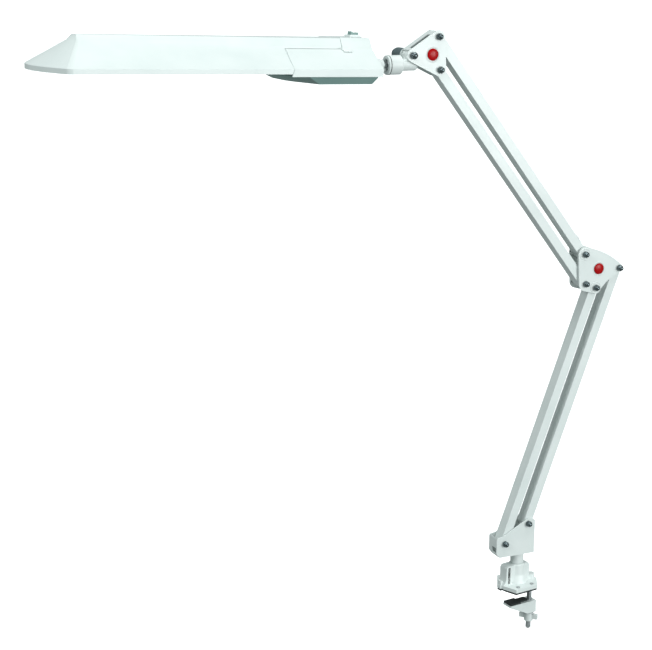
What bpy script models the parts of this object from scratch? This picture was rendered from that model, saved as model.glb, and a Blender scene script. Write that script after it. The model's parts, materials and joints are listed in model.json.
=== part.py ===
"""Swing-arm desk lamp with a table clamp.

Two parallel-bar arms stand on a clamp that grips a table edge. They carry a long,
flat shade with a twin-tube lamp. The frame's origin is the middle of the rubber
pad's underside, where the lamp rests on the table. The arms lie in the XZ plane,
the table and the shade are on the -X side, and +Z is up.
"""

import math

import bmesh
import bpy
from mathutils import Matrix, Vector

MM = 0.001
GAP = 0.3 * MM  # clearance between two pieces that touch

# ---- clamp -----------------------------------------------------------------
CLAMP_TURN = math.radians(8.0)  # the clamp's turn about the post, from the arms
PAD_THICK = 2.0 * MM
PLATE_THICK = 4.2 * MM
PLATE_HALF_DEPTH = 22.0 * MM
PLATE_EDGE_LEFT = 16.5 * MM
PLATE_EDGE_RIGHT = 13.0 * MM
PLATE_EDGE_REAR = 10.0 * MM  # rear edge's reach to the left
PLATE_REACH_LEFT = 22.0 * MM
PLATE_REACH_RIGHT = 24.5 * MM
PLATE_WAIST = 6.0 * MM
PAD_INSET = 0.6 * MM
LUG_REACH = 2.4 * MM
LUG_HALF = 3.0 * MM
LUG_HEIGHT = 9.0 * MM
COLUMN_TOP = 28.7 * MM
COLUMN_RADIUS = 9.0 * MM
COLUMN_FLARE = 12.5 * MM
COLUMN_FLARE_HEIGHT = 10.0 * MM
COLUMN_FLOOR = 5.0 * MM
RIB_THICK = 12.0 * MM
RIB_REACH_RIGHT = 13.5 * MM
RIB_REACH_LEFT = 18.5 * MM
RIB_DROP = 0.6 * MM
RIB_CORNER = 3.5 * MM
RIB_FOOT = 3.0 * MM
RIB_WINDOW_WIDTH = 3.0 * MM
RIB_WINDOW_WALL = 2.3 * MM
RIB_WINDOWS = ((0.8 * MM, 8.2 * MM), (13.8 * MM, 20.0 * MM))  # above the plate
ROD_OFFSET = 19.5 * MM
ROD_RADIUS = 2.9 * MM
ROD_TOP = 9.0 * MM
ROD_BOTTOM = -56.0 * MM
ROD_BOSS_RADIUS = 5.0 * MM
ROD_BOSS_HEIGHT = 9.0 * MM
PLATE_SCREW_X = (-10.5 * MM, 8.5 * MM)
PLATE_SCREW_Y = -17.0 * MM
SCREW_RADIUS = 1.4 * MM
SCREW_HEAD_RADIUS = 2.1 * MM
SCREW_HEAD_HEIGHT = 0.7 * MM
SCREW_DEPTH = 3.0 * MM

# ---- jaw and wing nut -------------------------------------------------------
THROAT = 18.2 * MM  # from the rubber pad down to the jaw's pad
JAW_PAD_THICK = 2.0 * MM
JAW_TIP = -12.0 * MM
JAW_END = 24.5 * MM
JAW_HALF_WIDTH = 7.0 * MM
JAW_TIP_THICK = 2.2 * MM
JAW_END_THICK = 14.4 * MM
JAW_STRAIGHT = 13.0 * MM
JAW_PAD_STEP = 3.0 * MM
JAW_PAD_NARROW = 4.2 * MM
WASHER_RADIUS = 6.4 * MM
WASHER_THICK = 1.0 * MM
WING_HUB_RADIUS = 5.0 * MM
WING_HUB_HEIGHT = 10.0 * MM
WING_SPAN = 21.0 * MM
WING_THICK = 4.4 * MM
WING_LIFT = 2.6 * MM  # from the hub's foot up to the wings
WING_HEIGHT = 5.6 * MM
WING_TURN = math.radians(-56.0)

# ---- post and base bracket --------------------------------------------------
POST_RADIUS = 5.0 * MM
HUB_RADIUS = 7.4 * MM
BRACKET_FLOOR = 41.0 * MM  # underside of the base bracket
POST_STUD_RADIUS = 3.0 * MM
POST_STUD_LENGTH = 7.5 * MM
POST_NUT_RADIUS = 5.4 * MM
POST_NUT_HEIGHT = 4.0 * MM
SHEET = 1.2 * MM
SIDE_GAP = 0.7 * MM  # between a bar's side and the sheet beside it
BASE_PIVOT = Vector((-21.0 * MM, 57.0 * MM))  # left bar's lower pin (x, z)
BASE_SPREAD = Vector((28.8 * MM, 19.7 * MM))  # from the left pin to the right pin
BRACKET_REACH_LEFT = 10.4 * MM
BRACKET_REACH_RIGHT = 8.8 * MM
BRACKET_OVER_LEFT = 8.5 * MM
BRACKET_OVER_RIGHT = 5.4 * MM
BRACKET_SLOT = (-7.0 * MM, 1.4 * MM)  # across the left wall
BRACKET_SLOT_LOW = 3.4 * MM
BRACKET_SLOT_HIGH = 10.4 * MM

# ---- arms -------------------------------------------------------------------
LOWER_ARM = 300.0 * MM
UPPER_ARM = 295.0 * MM
LOWER_LEAN = math.radians(70.05)
UPPER_LEAN = math.radians(127.7)
BAR_WIDTH = 10.0 * MM
BAR_DEPTH = 13.8 * MM
BAR_WALL = 1.0 * MM
BOLT_RADIUS = 2.5 * MM
NUT_RADIUS = 3.7 * MM
NUT_HEIGHT = 3.2 * MM
NUT_DOME = 3.0 * MM
BOLT_HEAD = 3.2 * MM
SPRING_RADIUS = 3.7 * MM
SPRING_TURNS = 9
SPRING_LENGTH = 120.0 * MM
SPRING_ROD_RADIUS = 0.9 * MM
ANCHOR_START = 11.5 * MM
ANCHOR_LENGTH = 10.0 * MM
ANCHOR_LIP = 1.2 * MM

# ---- elbow ------------------------------------------------------------------
ELBOW_RISE = Vector((-15.3 * MM, 37.9 * MM))  # lower left pin to upper top pin
UPPER_SPREAD = Vector((-2.1 * MM, 32.7 * MM))  # upper low pin to upper top pin
ELBOW_CAP = Vector((2.5 * MM, 20.9 * MM))  # cap's place, from the lower left pin
ELBOW_RADIUS = 8.0 * MM
ELBOW_RADIUS_LOW = 6.6 * MM
ELBOW_RADIUS_RIGHT = 4.8 * MM
ELBOW_SIDE_GAP = 2.0 * MM
ELBOW_HOLLOW = 3.0 * MM
ELBOW_CROWN = 3.0 * MM
ELBOW_FLANGE = 1.5 * MM
CAP_RADIUS = 6.0 * MM
CAP_HEIGHT = 1.8 * MM
SPACER_RADIUS = 3.6 * MM

# ---- head bracket -----------------------------------------------------------
TILT_OFFSET = Vector((-28.1 * MM, -17.8 * MM))  # top pin to tilt pin
HEAD_CAP = Vector((-6.8 * MM, -17.3 * MM))  # top pin to the cap
HEAD_RADIUS = 6.6 * MM
SLOT_START = 3.0 * MM
SLOT_LENGTH = 24.0 * MM
SLOT_WIDTH = 7.0 * MM

# ---- swivel -----------------------------------------------------------------
BALL_OFFSET = Vector((-23.8 * MM, -9.2 * MM))  # tilt pin to the ring's middle
BALL_SET = 3.5 * MM  # the ball's middle, behind the ring's face
BALL_RADIUS = 6.0 * MM
STEM_RADIUS = 3.0 * MM
STEM_LENGTH = 26.0 * MM
COLLAR_RADIUS = 9.6 * MM
COLLAR_LENGTH = 13.6 * MM
SHANK_RADIUS = 6.1 * MM
SHANK_LENGTH = 18.5 * MM
RING_THICK = 2.2 * MM
RING_BORE = 5.6 * MM
EYE_RADIUS = 6.2 * MM
KNOB_RADIUS = 6.5 * MM
KNOB_LENGTH = 22.0 * MM

# ---- head -------------------------------------------------------------------
HEAD_TURN = math.radians(7.38)
HEAD_TILT = math.radians(2.06)
RIM_HALF = 56.0 * MM
RIM_LOW = -5.5 * MM
RIM_LIP = 4.5 * MM
TOP_HEIGHT = 26.0 * MM
SHELL = 1.6 * MM
HEAD_END = -37.0 * MM  # right end wall, above the crease
END_SLANT = 5.0 * MM  # how far the end wall draws in down to the rim
RIM_TIP = -351.0 * MM  # corners of the left end, at the rim
TOP_TIP = -326.0 * MM
TIP_BOW = 14.0 * MM
RIM_CORNER = 6.0 * MM
TOP_HALF_END = 22.0 * MM
TOP_HALF_TIP = 6.0 * MM
CREASE_HALF_END = 27.0 * MM
CREASE_HALF_TIP = 13.0 * MM
CREASE_DROP_END = 10.3 * MM
CREASE_DROP_TIP = 4.8 * MM
SEAM_LOW = -138.0 * MM
SEAM_HIGH = -130.0 * MM
SEAM_TOP = -68.5 * MM
SEAM_LEVEL = 16.4 * MM
HOUSING_PROUD = 0.7 * MM
HOUSING_FLANGE = 2.4 * MM
NECK_RADIUS = 7.4 * MM
NECK_END_RADIUS = 5.2 * MM
COVER_START = -130.0 * MM
COVER_RAMP = 20.0 * MM
COVER_NOSE = 9.0 * MM  # half width of the ramp's blunt nose
COVER_END = -41.5 * MM
COVER_SLANT = 3.5 * MM
COVER_INSET = 5.0 * MM
COVER_CORNER = 2.5 * MM
COVER_BOW_TOP = 13.0 * MM  # the nose's reach ahead of the ramp's corners
COVER_BOW_LOW = 6.0 * MM
COVER_HALF = 51.5 * MM
COVER_LIP = 0.8 * MM
COVER_DEPTH = 7.2 * MM
SWITCH_PLACE = Vector((-47.0 * MM, -8.0 * MM))
SWITCH_LENGTH = 12.4 * MM
SWITCH_WIDTH = 11.0 * MM
SWITCH_LIP = 2.2 * MM
ROCKER_LENGTH = 8.4 * MM
ROCKER_WIDTH = 6.6 * MM
ROCKER_RISE = 4.6 * MM
ROCKER_LEAN = math.radians(8.0)
TUBE_RADIUS = 6.2 * MM
TUBE_SPACING = 15.4 * MM
TUBE_HEIGHT = 3.0 * MM
TUBE_START = -122.0 * MM
TUBE_TIP = -318.0 * MM
LAMP_BASE_LENGTH = 18.0 * MM
LAMP_BASE_WIDTH = 32.0 * MM
LAMP_BASE_HEIGHT = 18.0 * MM
PLUG_LENGTH = 12.0 * MM
PLUG_WIDTH = 22.0 * MM
PLUG_HEIGHT = 12.0 * MM
HOLDER_LENGTH = 18.0 * MM
HOLDER_WIDTH = 36.0 * MM
DRIVER_LENGTH = 30.0 * MM
DRIVER_WIDTH = 50.0 * MM
DRIVER_TOP = 4.0 * MM
REFLECTOR_THICK = 0.8 * MM
REFLECTOR_TOP = 15.0 * MM
REFLECTOR_FLAT = 12.0 * MM
REFLECTOR_HALF = 40.0 * MM
REFLECTOR_FOOT = 3.2 * MM
CLIP_LENGTH = 9.0 * MM
CLIP_HEIGHT = 6.0 * MM
CLIP_THICK = 1.4 * MM
GLAND_RADIUS = 4.0 * MM
GLAND_BORE = 2.4 * MM
GLAND_PLACE = Vector((24.0 * MM, 6.0 * MM))

# ---- sizes that follow ------------------------------------------------------
BOLT_HOLE = BOLT_RADIUS + GAP
INNER_HALF = BAR_DEPTH / 2 + SIDE_GAP  # inside of the brackets
OUTER_HALF = INNER_HALF + SHEET  # outside of the brackets
ELBOW_INNER = BAR_DEPTH / 2 + ELBOW_SIDE_GAP
ELBOW_OUTER = ELBOW_INNER + SHEET


def lean_vector(angle):
    """Unit vector in the XZ plane at an angle up from +X."""
    return Vector((math.cos(angle), math.sin(angle)))


LOWER_STEP = LOWER_ARM * lean_vector(LOWER_LEAN)
UPPER_STEP = UPPER_ARM * lean_vector(UPPER_LEAN)
BASE_RIGHT = BASE_PIVOT + BASE_SPREAD
ELBOW_LOW = BASE_PIVOT + LOWER_STEP
ELBOW_RIGHT = BASE_RIGHT + LOWER_STEP
ELBOW_TOP = ELBOW_LOW + ELBOW_RISE
ELBOW_LEFT = ELBOW_TOP - UPPER_SPREAD
HEAD_TOP = ELBOW_TOP + UPPER_STEP
HEAD_LOW = ELBOW_LEFT + UPPER_STEP
HEAD_PIN = HEAD_TOP + TILT_OFFSET
RING_PLACE = HEAD_PIN + BALL_OFFSET

PAD_TOP = PAD_THICK
PLATE_LOW = PAD_TOP + GAP
PLATE_TOP = PLATE_LOW + PLATE_THICK
JAW_PAD_TOP = -THROAT
JAW_TOP = JAW_PAD_TOP - JAW_PAD_THICK - GAP
JAW_BOTTOM = JAW_TOP - JAW_END_THICK

# ---- materials --------------------------------------------------------------
FINISHES = {
    "white_paint": ((0.80, 0.83, 0.82), 0.38, 0.0),
    "white_plastic": ((0.82, 0.85, 0.84), 0.45, 0.0),
    "shade_plastic": ((0.79, 0.83, 0.82), 0.42, 0.0),
    "grey_plastic": ((0.42, 0.50, 0.49), 0.5, 0.0),
    "dark_plastic": ((0.20, 0.25, 0.26), 0.45, 0.0),
    "black_rubber": ((0.03, 0.04, 0.04), 0.85, 0.0),
    "red_cap": ((0.55, 0.005, 0.01), 0.35, 0.0),
    "chrome": ((0.62, 0.64, 0.65), 0.12, 1.0),
    "zinc_steel": ((0.50, 0.52, 0.53), 0.35, 1.0),
    "spring_steel": ((0.40, 0.41, 0.42), 0.3, 1.0),
    "reflector_white": ((0.88, 0.89, 0.88), 0.3, 0.0),
    "tube_glass": ((0.92, 0.94, 0.95), 0.2, 0.0),
    "lamp_ceramic": ((0.86, 0.86, 0.83), 0.5, 0.0),
}


def clear_scene():
    """Remove whatever the scene holds."""
    for item in list(bpy.data.objects):
        bpy.data.objects.remove(item, do_unlink=True)


def make_collection(name):
    """Make a collection linked to the scene."""
    group = bpy.data.collections.new(name)
    bpy.context.scene.collection.children.link(group)
    return group


clear_scene()
PARTS = make_collection("swing_arm_desk_lamp")
CUTTERS = make_collection("cutters")


def finish(item, name):
    """Give an object its own Principled material."""
    colour, roughness, metallic = FINISHES[name]
    material = bpy.data.materials.new(item.name + "_" + name)
    material.use_nodes = True
    shader = material.node_tree.nodes["Principled BSDF"]
    shader.inputs["Base Color"].default_value = (*colour, 1.0)
    shader.inputs["Roughness"].default_value = roughness
    shader.inputs["Metallic"].default_value = metallic
    item.data.materials.clear()
    item.data.materials.append(material)


def new_object(name, mesh, parent=None):
    """Link a new object for a mesh."""
    item = bpy.data.objects.new(name, mesh)
    PARTS.objects.link(item)
    item.parent = parent
    return item


def empty(name, place, rotation=(0.0, 0.0, 0.0)):
    """Make an empty that carries a turned group of pieces."""
    item = bpy.data.objects.new(name, None)
    PARTS.objects.link(item)
    item.location = place
    item.rotation_euler = rotation
    return item


def box(name, low, high, parent=None):
    """Make a box from two opposite corners."""
    mesh = bpy.data.meshes.new(name)
    shape = bmesh.new()
    bmesh.ops.create_cube(shape, size=1.0)
    size = Vector(high) - Vector(low)
    middle = (Vector(high) + Vector(low)) / 2
    bmesh.ops.scale(shape, vec=size, verts=shape.verts)
    bmesh.ops.translate(shape, vec=middle, verts=shape.verts)
    shape.to_mesh(mesh)
    shape.free()
    return new_object(name, mesh, parent)


def cylinder(name, radius, start, end, steps=20, parent=None):
    """Make a cylinder between two points."""
    mesh = bpy.data.meshes.new(name)
    axis = Vector(end) - Vector(start)
    turn = axis.to_track_quat("Z", "Y").to_matrix().to_4x4()
    place = Matrix.Translation((Vector(start) + Vector(end)) / 2) @ turn
    shape = bmesh.new()
    bmesh.ops.create_cone(
        shape,
        cap_ends=True,
        segments=steps,
        radius1=radius,
        radius2=radius,
        depth=axis.length,
        matrix=place,
    )
    shape.to_mesh(mesh)
    shape.free()
    return new_object(name, mesh, parent)


def turned(name, profile, steps=16, parent=None, closed=False):
    """Turn a profile of (radius, height) points about local Z.

    The points run from the top down the outer side. A closed profile makes a
    ring, and any other starts and ends on the axis.
    """
    mesh = bpy.data.meshes.new(name)
    points = [(radius, 0.0, height) for radius, height in profile]
    edges = [(i, i + 1) for i in range(len(points) - 1)]
    if closed:
        edges.append((len(points) - 1, 0))
    mesh.from_pydata(points, edges, [])
    item = new_object(name, mesh, parent)
    screw = item.modifiers.new("Screw", "SCREW")
    screw.axis = "Z"
    screw.steps = steps
    screw.render_steps = steps
    screw.use_merge_vertices = True
    screw.merge_threshold = 0.00001
    screw.use_smooth_shade = True
    return item


def arc(centre, radius, start, end, steps):
    """Points on an arc, angles in degrees."""
    points = []
    for i in range(steps + 1):
        angle = math.radians(start + (end - start) * i / steps)
        points.append((centre[0] + radius * math.cos(angle), centre[1] + radius * math.sin(angle)))
    return points


def belt(pins, radii, steps=5, bends=()):
    """Outline of a belt round circles at pins, which run anticlockwise.

    Each bend is (side, depth): the side from that pin to the next is bowed
    inward by the depth, or outward where it is negative.
    """
    count = len(pins)
    normals = []
    for i in range(count):
        run = Vector(pins[(i + 1) % count]) - Vector(pins[i])
        lean = math.asin((radii[i] - radii[(i + 1) % count]) / run.length)
        normals.append(math.atan2(run.y, run.x) - math.pi / 2 + lean)
    points = []
    for i, pin in enumerate(pins):
        start = math.degrees(normals[i - 1])
        end = math.degrees(normals[i])
        if end < start:
            end += 360.0
        points += arc(pin, radii[i], start, end, steps)
        for side, depth in bends:
            if side == i:
                after = pins[(i + 1) % count]
                out = lean_vector(normals[i])
                first = Vector(pin) + out * radii[i]
                last = Vector(after) + out * radii[(i + 1) % count]
                for k in range(1, steps):
                    share = k / steps
                    spot = first.lerp(last, share) - out * depth * 4 * share * (1 - share)
                    points.append((spot.x, spot.y))
    return points


def extruded(name, loops, low, high, upright=True, parent=None):
    """Extrude closed loops of points; inner loops are holes.

    An upright outline lies in XZ and runs from low to high along Y. Any other
    lies in XY and runs along Z.
    """
    curve = bpy.data.curves.new(name + "_outline", "CURVE")
    curve.dimensions = "2D"
    curve.fill_mode = "BOTH"
    curve.extrude = (high - low) / 2
    for loop in loops:
        spline = curve.splines.new("POLY")
        spline.points.add(len(loop) - 1)
        for point, (x, y) in zip(spline.points, loop):
            point.co = (x, y, 0.0, 1.0)
        spline.use_cyclic_u = True
    outline = bpy.data.objects.new(name + "_outline", curve)
    PARTS.objects.link(outline)
    bpy.context.view_layer.update()
    graph = bpy.context.evaluated_depsgraph_get()
    mesh = bpy.data.meshes.new_from_object(outline.evaluated_get(graph))
    mesh.name = name
    bpy.data.objects.remove(outline, do_unlink=True)
    shape = bmesh.new()
    shape.from_mesh(mesh)
    bmesh.ops.remove_doubles(shape, verts=shape.verts, dist=0.000005)
    middle = (low + high) / 2
    if upright:
        stand = Matrix.Rotation(math.pi / 2, 4, "X")
        bmesh.ops.transform(shape, matrix=Matrix.Translation((0, middle, 0)) @ stand, verts=shape.verts)
    else:
        bmesh.ops.translate(shape, vec=(0, 0, middle), verts=shape.verts)
    bmesh.ops.recalc_face_normals(shape, faces=shape.faces)
    shape.to_mesh(mesh)
    shape.free()
    return new_object(name, mesh, parent)


def combine(target, tool, operation="DIFFERENCE"):
    """Cut, join or intersect a piece with a tool object."""
    for group in list(tool.users_collection):
        group.objects.unlink(tool)
    CUTTERS.objects.link(tool)
    tool.hide_render = True
    tool.display_type = "WIRE"
    step = target.modifiers.new(tool.name, "BOOLEAN")
    step.operation = operation
    step.object = tool
    step.solver = "EXACT"
    return step


def along_y(item, spot):
    """Lay a turned piece along Y, its top towards -Y, at a point (x, z)."""
    item.location = (spot[0], 0.0, spot[1])
    item.rotation_euler = (math.pi / 2, 0.0, 0.0)


def pin_cut(target, name, spot, radius=BOLT_HOLE, half=0.02, parent=None):
    """Cut a hole along Y at a point (x, z)."""
    start = (spot[0], -half, spot[1])
    end = (spot[0], half, spot[1])
    combine(target, cylinder(name, radius, start, end, 16, parent))


# ---- clamp pieces -----------------------------------------------------------
def plate_outline(inset=0.0, lug=False):
    """Plan outline of the clamp's foot plate, anticlockwise."""
    depth = PLATE_HALF_DEPTH - inset
    left = PLATE_REACH_LEFT - inset
    right = PLATE_REACH_RIGHT - inset
    waist = PLATE_WAIST - inset / 2
    points = [
        (-PLATE_EDGE_LEFT + inset / 2, -depth),
        (PLATE_EDGE_RIGHT - inset / 2, -depth),
        (right, -waist),
        (right, waist),
        (PLATE_EDGE_RIGHT - inset / 2, depth),
        (-PLATE_EDGE_REAR + inset / 2, depth),
        (-left, waist),
    ]
    if lug:
        reach = -left - LUG_REACH
        points += [(-left, LUG_HALF), (reach, LUG_HALF), (reach, -LUG_HALF), (-left, -LUG_HALF)]
    points.append((-left, -waist))
    return points


def rib_outline(side, reach, low):
    """Outline of a rib beside the column, on the side given by +1 or -1."""
    high = COLUMN_TOP - RIB_DROP
    centre = (reach - RIB_CORNER, high - RIB_CORNER)
    points = [(2.0 * MM, low), (reach + RIB_FOOT, low), (reach + RIB_FOOT, PLATE_TOP + MM)]
    points.append((reach, PLATE_TOP + 2 * RIB_FOOT))
    points += arc(centre, RIB_CORNER, 0.0, 90.0, 3)
    points.append((2.0 * MM, high))
    return [(side * x, z) for x, z in points[::side]]


def clamp_base(frame):
    """Foot plate, column, side ribs and rod boss, in one casting."""
    base = extruded("Clamp_Base", [plate_outline(lug=True)], PLATE_LOW, PLATE_TOP, False, frame)
    sunk = PLATE_LOW + 1.0 * MM
    flare = arc((COLUMN_FLARE, PLATE_TOP + COLUMN_FLARE_HEIGHT), COLUMN_FLARE - COLUMN_RADIUS, 180.0, 215.0, 2)
    profile = [(0.0, COLUMN_TOP), (COLUMN_RADIUS - MM, COLUMN_TOP), (COLUMN_RADIUS, COLUMN_TOP - MM)]
    profile += flare
    profile += [(COLUMN_FLARE, PLATE_TOP + MM), (COLUMN_FLARE, sunk), (0.0, sunk)]
    combine(base, turned("column", profile, 20, frame), "UNION")
    for name, side, reach in (("right", 1, RIB_REACH_RIGHT), ("left", -1, RIB_REACH_LEFT)):
        rib = rib_outline(side, reach, sunk)
        combine(base, extruded("rib_" + name, [rib], -RIB_THICK / 2, RIB_THICK / 2, True, frame), "UNION")
    lug_x = -PLATE_REACH_LEFT - LUG_REACH + GAP
    lug_y = LUG_HALF - GAP
    lug = box("lug", (lug_x, -lug_y, sunk), (lug_x + LUG_REACH + MM, lug_y, PLATE_LOW + LUG_HEIGHT), frame)
    combine(base, lug, "UNION")
    boss = cylinder(
        "rod_boss",
        ROD_BOSS_RADIUS,
        (ROD_OFFSET, 0, sunk),
        (ROD_OFFSET, 0, PLATE_LOW + ROD_BOSS_HEIGHT),
        16,
        frame,
    )
    combine(base, boss, "UNION")
    bore = cylinder(
        "post_bore",
        POST_RADIUS + GAP,
        (0, 0, PLATE_LOW + COLUMN_FLOOR),
        (0, 0, COLUMN_TOP + MM),
        20,
        frame,
    )
    combine(base, bore)
    hole = cylinder("rod_hole", ROD_RADIUS + GAP, (ROD_OFFSET, 0, 0), (ROD_OFFSET, 0, ROD_TOP + GAP), 16, frame)
    combine(base, hole)
    for i, x in enumerate(PLATE_SCREW_X):
        start = (x, PLATE_SCREW_Y, PLATE_TOP - SCREW_DEPTH - GAP)
        end = (x, PLATE_SCREW_Y, PLATE_TOP + MM)
        combine(base, cylinder(f"plate_screw_hole_{i}", SCREW_RADIUS + GAP, start, end, 12, frame))
    window_x = -RIB_REACH_LEFT + RIB_WINDOW_WALL
    for i, (low, high) in enumerate(RIB_WINDOWS):
        window = box(
            f"rib_window_{i}",
            (window_x, -RIB_THICK, PLATE_TOP + low),
            (window_x + RIB_WINDOW_WIDTH, RIB_THICK, PLATE_TOP + high),
            frame,
        )
        combine(base, window)
    finish(base, "white_plastic")


def clamp_trim(frame):
    """Rubber pad, lug foot, plate screws and threaded rod."""
    pad = extruded("Clamp_Pad", [plate_outline(PAD_INSET)], 0.0, PAD_TOP, False, frame)
    clear = cylinder("pad_hole", ROD_RADIUS + MM, (ROD_OFFSET, 0, -MM), (ROD_OFFSET, 0, PAD_TOP + MM), 16, frame)
    combine(pad, clear)
    finish(pad, "black_rubber")
    reach = -PLATE_REACH_LEFT - LUG_REACH + GAP
    foot = box("Clamp_Foot", (reach, -LUG_HALF, 0), (-PLATE_REACH_LEFT, LUG_HALF, PAD_TOP), frame)
    finish(foot, "black_rubber")
    for i, x in enumerate(PLATE_SCREW_X):
        top = PLATE_TOP + GAP + SCREW_HEAD_HEIGHT
        profile = [
            (0.0, top),
            (SCREW_HEAD_RADIUS * 0.7, top),
            (SCREW_HEAD_RADIUS, PLATE_TOP + GAP + 0.5 * MM),
            (SCREW_HEAD_RADIUS, PLATE_TOP + GAP),
            (SCREW_RADIUS, PLATE_TOP + GAP),
            (SCREW_RADIUS, PLATE_TOP - SCREW_DEPTH),
            (0.0, PLATE_TOP - SCREW_DEPTH),
        ]
        screw = turned(f"Plate_Screw_{i + 1}", profile, 12, frame)
        screw.location = (x, PLATE_SCREW_Y, 0)
        finish(screw, "zinc_steel")
    profile = [
        (0.0, ROD_TOP),
        (ROD_RADIUS, ROD_TOP),
        (ROD_RADIUS, ROD_BOTTOM + 1.2 * MM),
        (ROD_RADIUS - 1.2 * MM, ROD_BOTTOM),
        (0.0, ROD_BOTTOM),
    ]
    rod = turned("Clamp_Rod", profile, 16, frame)
    rod.location = (ROD_OFFSET, 0, 0)
    finish(rod, "zinc_steel")


def jaw_pieces(frame):
    """Sliding jaw with its pad, the washer and the wing nut."""
    outline = [
        (JAW_TIP, JAW_TOP - JAW_TIP_THICK),
        (JAW_STRAIGHT, JAW_BOTTOM),
        (JAW_END, JAW_BOTTOM),
        (JAW_END, JAW_TOP),
        (JAW_TIP, JAW_TOP),
    ]
    jaw = extruded("Clamp_Jaw", [outline], -JAW_HALF_WIDTH, JAW_HALF_WIDTH, True, frame)
    hole = cylinder(
        "jaw_hole",
        ROD_RADIUS + GAP,
        (ROD_OFFSET, 0, JAW_BOTTOM - MM),
        (ROD_OFFSET, 0, JAW_TOP + MM),
        16,
        frame,
    )
    combine(jaw, hole)
    finish(jaw, "white_plastic")
    wide = JAW_HALF_WIDTH - GAP
    stop = ROD_OFFSET - ROD_RADIUS - 2.0 * MM
    tip = JAW_TIP + GAP
    step = JAW_PAD_STEP
    slim = JAW_PAD_NARROW
    plan = [(tip, -wide), (step, -wide), (step, -slim), (stop, -slim), (stop, slim), (step, slim)]
    plan += [(step, wide), (tip, wide)]
    pad = extruded("Jaw_Pad", [plan], JAW_TOP + GAP, JAW_PAD_TOP, False, frame)
    finish(pad, "black_rubber")
    high = JAW_BOTTOM - GAP
    low = high - WASHER_THICK
    ring = [(WASHER_RADIUS, high), (WASHER_RADIUS, low), (ROD_RADIUS + GAP, low), (ROD_RADIUS + GAP, high)]
    washer = turned("Jaw_Washer", ring, 16, frame, closed=True)
    washer.location = (ROD_OFFSET, 0, 0)
    finish(washer, "zinc_steel")
    top = low - GAP
    floor = top - WING_HUB_HEIGHT
    hub = [
        (WING_HUB_RADIUS - MM, top),
        (WING_HUB_RADIUS, top - 2.0 * MM),
        (WING_HUB_RADIUS, floor),
        (ROD_RADIUS + GAP, floor),
        (ROD_RADIUS + GAP, top),
    ]
    nut = turned("Wing_Nut", hub, 16, frame, closed=True)
    nut.location = (ROD_OFFSET, 0, 0)
    nut.rotation_euler = (0, 0, WING_TURN)
    for i, side in enumerate((-1, 1)):
        ends = sorted((side * (WING_HUB_RADIUS - 0.8 * MM), side * WING_SPAN / 2))
        wing = box(
            f"wing_{i}",
            (ends[0], -WING_THICK / 2, floor + WING_LIFT),
            (ends[1], WING_THICK / 2, floor + WING_LIFT + WING_HEIGHT),
            nut,
        )
        combine(nut, wing, "UNION")
    finish(nut, "white_plastic")


# ---- post and base bracket --------------------------------------------------
def base_pieces():
    """Swivelling post, folded base bracket and their nut."""
    stud_top = BRACKET_FLOOR + SHEET + POST_STUD_LENGTH
    foot = PLATE_LOW + COLUMN_FLOOR + GAP
    profile = [
        (0.0, stud_top),
        (POST_STUD_RADIUS, stud_top),
        (POST_STUD_RADIUS, BRACKET_FLOOR - GAP),
        (HUB_RADIUS, BRACKET_FLOOR - GAP),
        (HUB_RADIUS, COLUMN_TOP + GAP),
        (POST_RADIUS, COLUMN_TOP + GAP),
        (POST_RADIUS, foot),
        (0.0, foot),
    ]
    finish(turned("Post", profile, 20), "white_paint")
    low = BRACKET_FLOOR + SHEET + GAP
    high = low + POST_NUT_HEIGHT
    inner = POST_STUD_RADIUS + GAP
    ring = [(POST_NUT_RADIUS, high), (POST_NUT_RADIUS, low), (inner, low), (inner, high)]
    finish(turned("Post_Nut", ring, 12, closed=True), "zinc_steel")
    left = BASE_PIVOT.x - BRACKET_REACH_LEFT
    right = BASE_RIGHT.x + BRACKET_REACH_RIGHT
    top_left = BASE_PIVOT.y + BRACKET_OVER_LEFT
    top_right = BASE_RIGHT.y + BRACKET_OVER_RIGHT
    outline = [
        (left + 4.0 * MM, BRACKET_FLOOR),
        (right, BRACKET_FLOOR),
        (right, top_right - 2.5 * MM),
        (right - 3.0 * MM, top_right),
        (BASE_RIGHT.x - 1.5 * MM, top_right),
        (BASE_PIVOT.x - 3.0 * MM, top_left),
        (left + MM, top_left - MM),
        (left, top_left - 3.0 * MM),
        (left, BRACKET_FLOOR + 5.0 * MM),
    ]
    bracket = extruded("Base_Bracket", [outline], -OUTER_HALF, OUTER_HALF)
    wall = left + SHEET
    floor = BRACKET_FLOOR + SHEET
    inside = [
        (wall + 3.6 * MM, floor),
        (right + 9 * MM, floor),
        (right + 9 * MM, top_right + 9 * MM),
        (wall, top_right + 9 * MM),
        (wall, floor + 4.5 * MM),
    ]
    combine(bracket, extruded("bracket_inside", [inside], -INNER_HALF, INNER_HALF))
    slot = box(
        "bracket_slot",
        (left - MM, BRACKET_SLOT[0], floor + BRACKET_SLOT_LOW),
        (wall + MM, BRACKET_SLOT[1], floor + BRACKET_SLOT_HIGH),
    )
    combine(bracket, slot)
    stud = cylinder("stud_hole", POST_STUD_RADIUS + GAP, (0, 0, BRACKET_FLOOR - MM), (0, 0, floor + MM), 16)
    combine(bracket, stud)
    pin_cut(bracket, "base_hole_left", BASE_PIVOT)
    pin_cut(bracket, "base_hole_right", BASE_RIGHT)
    finish(bracket, "white_paint")


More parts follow.
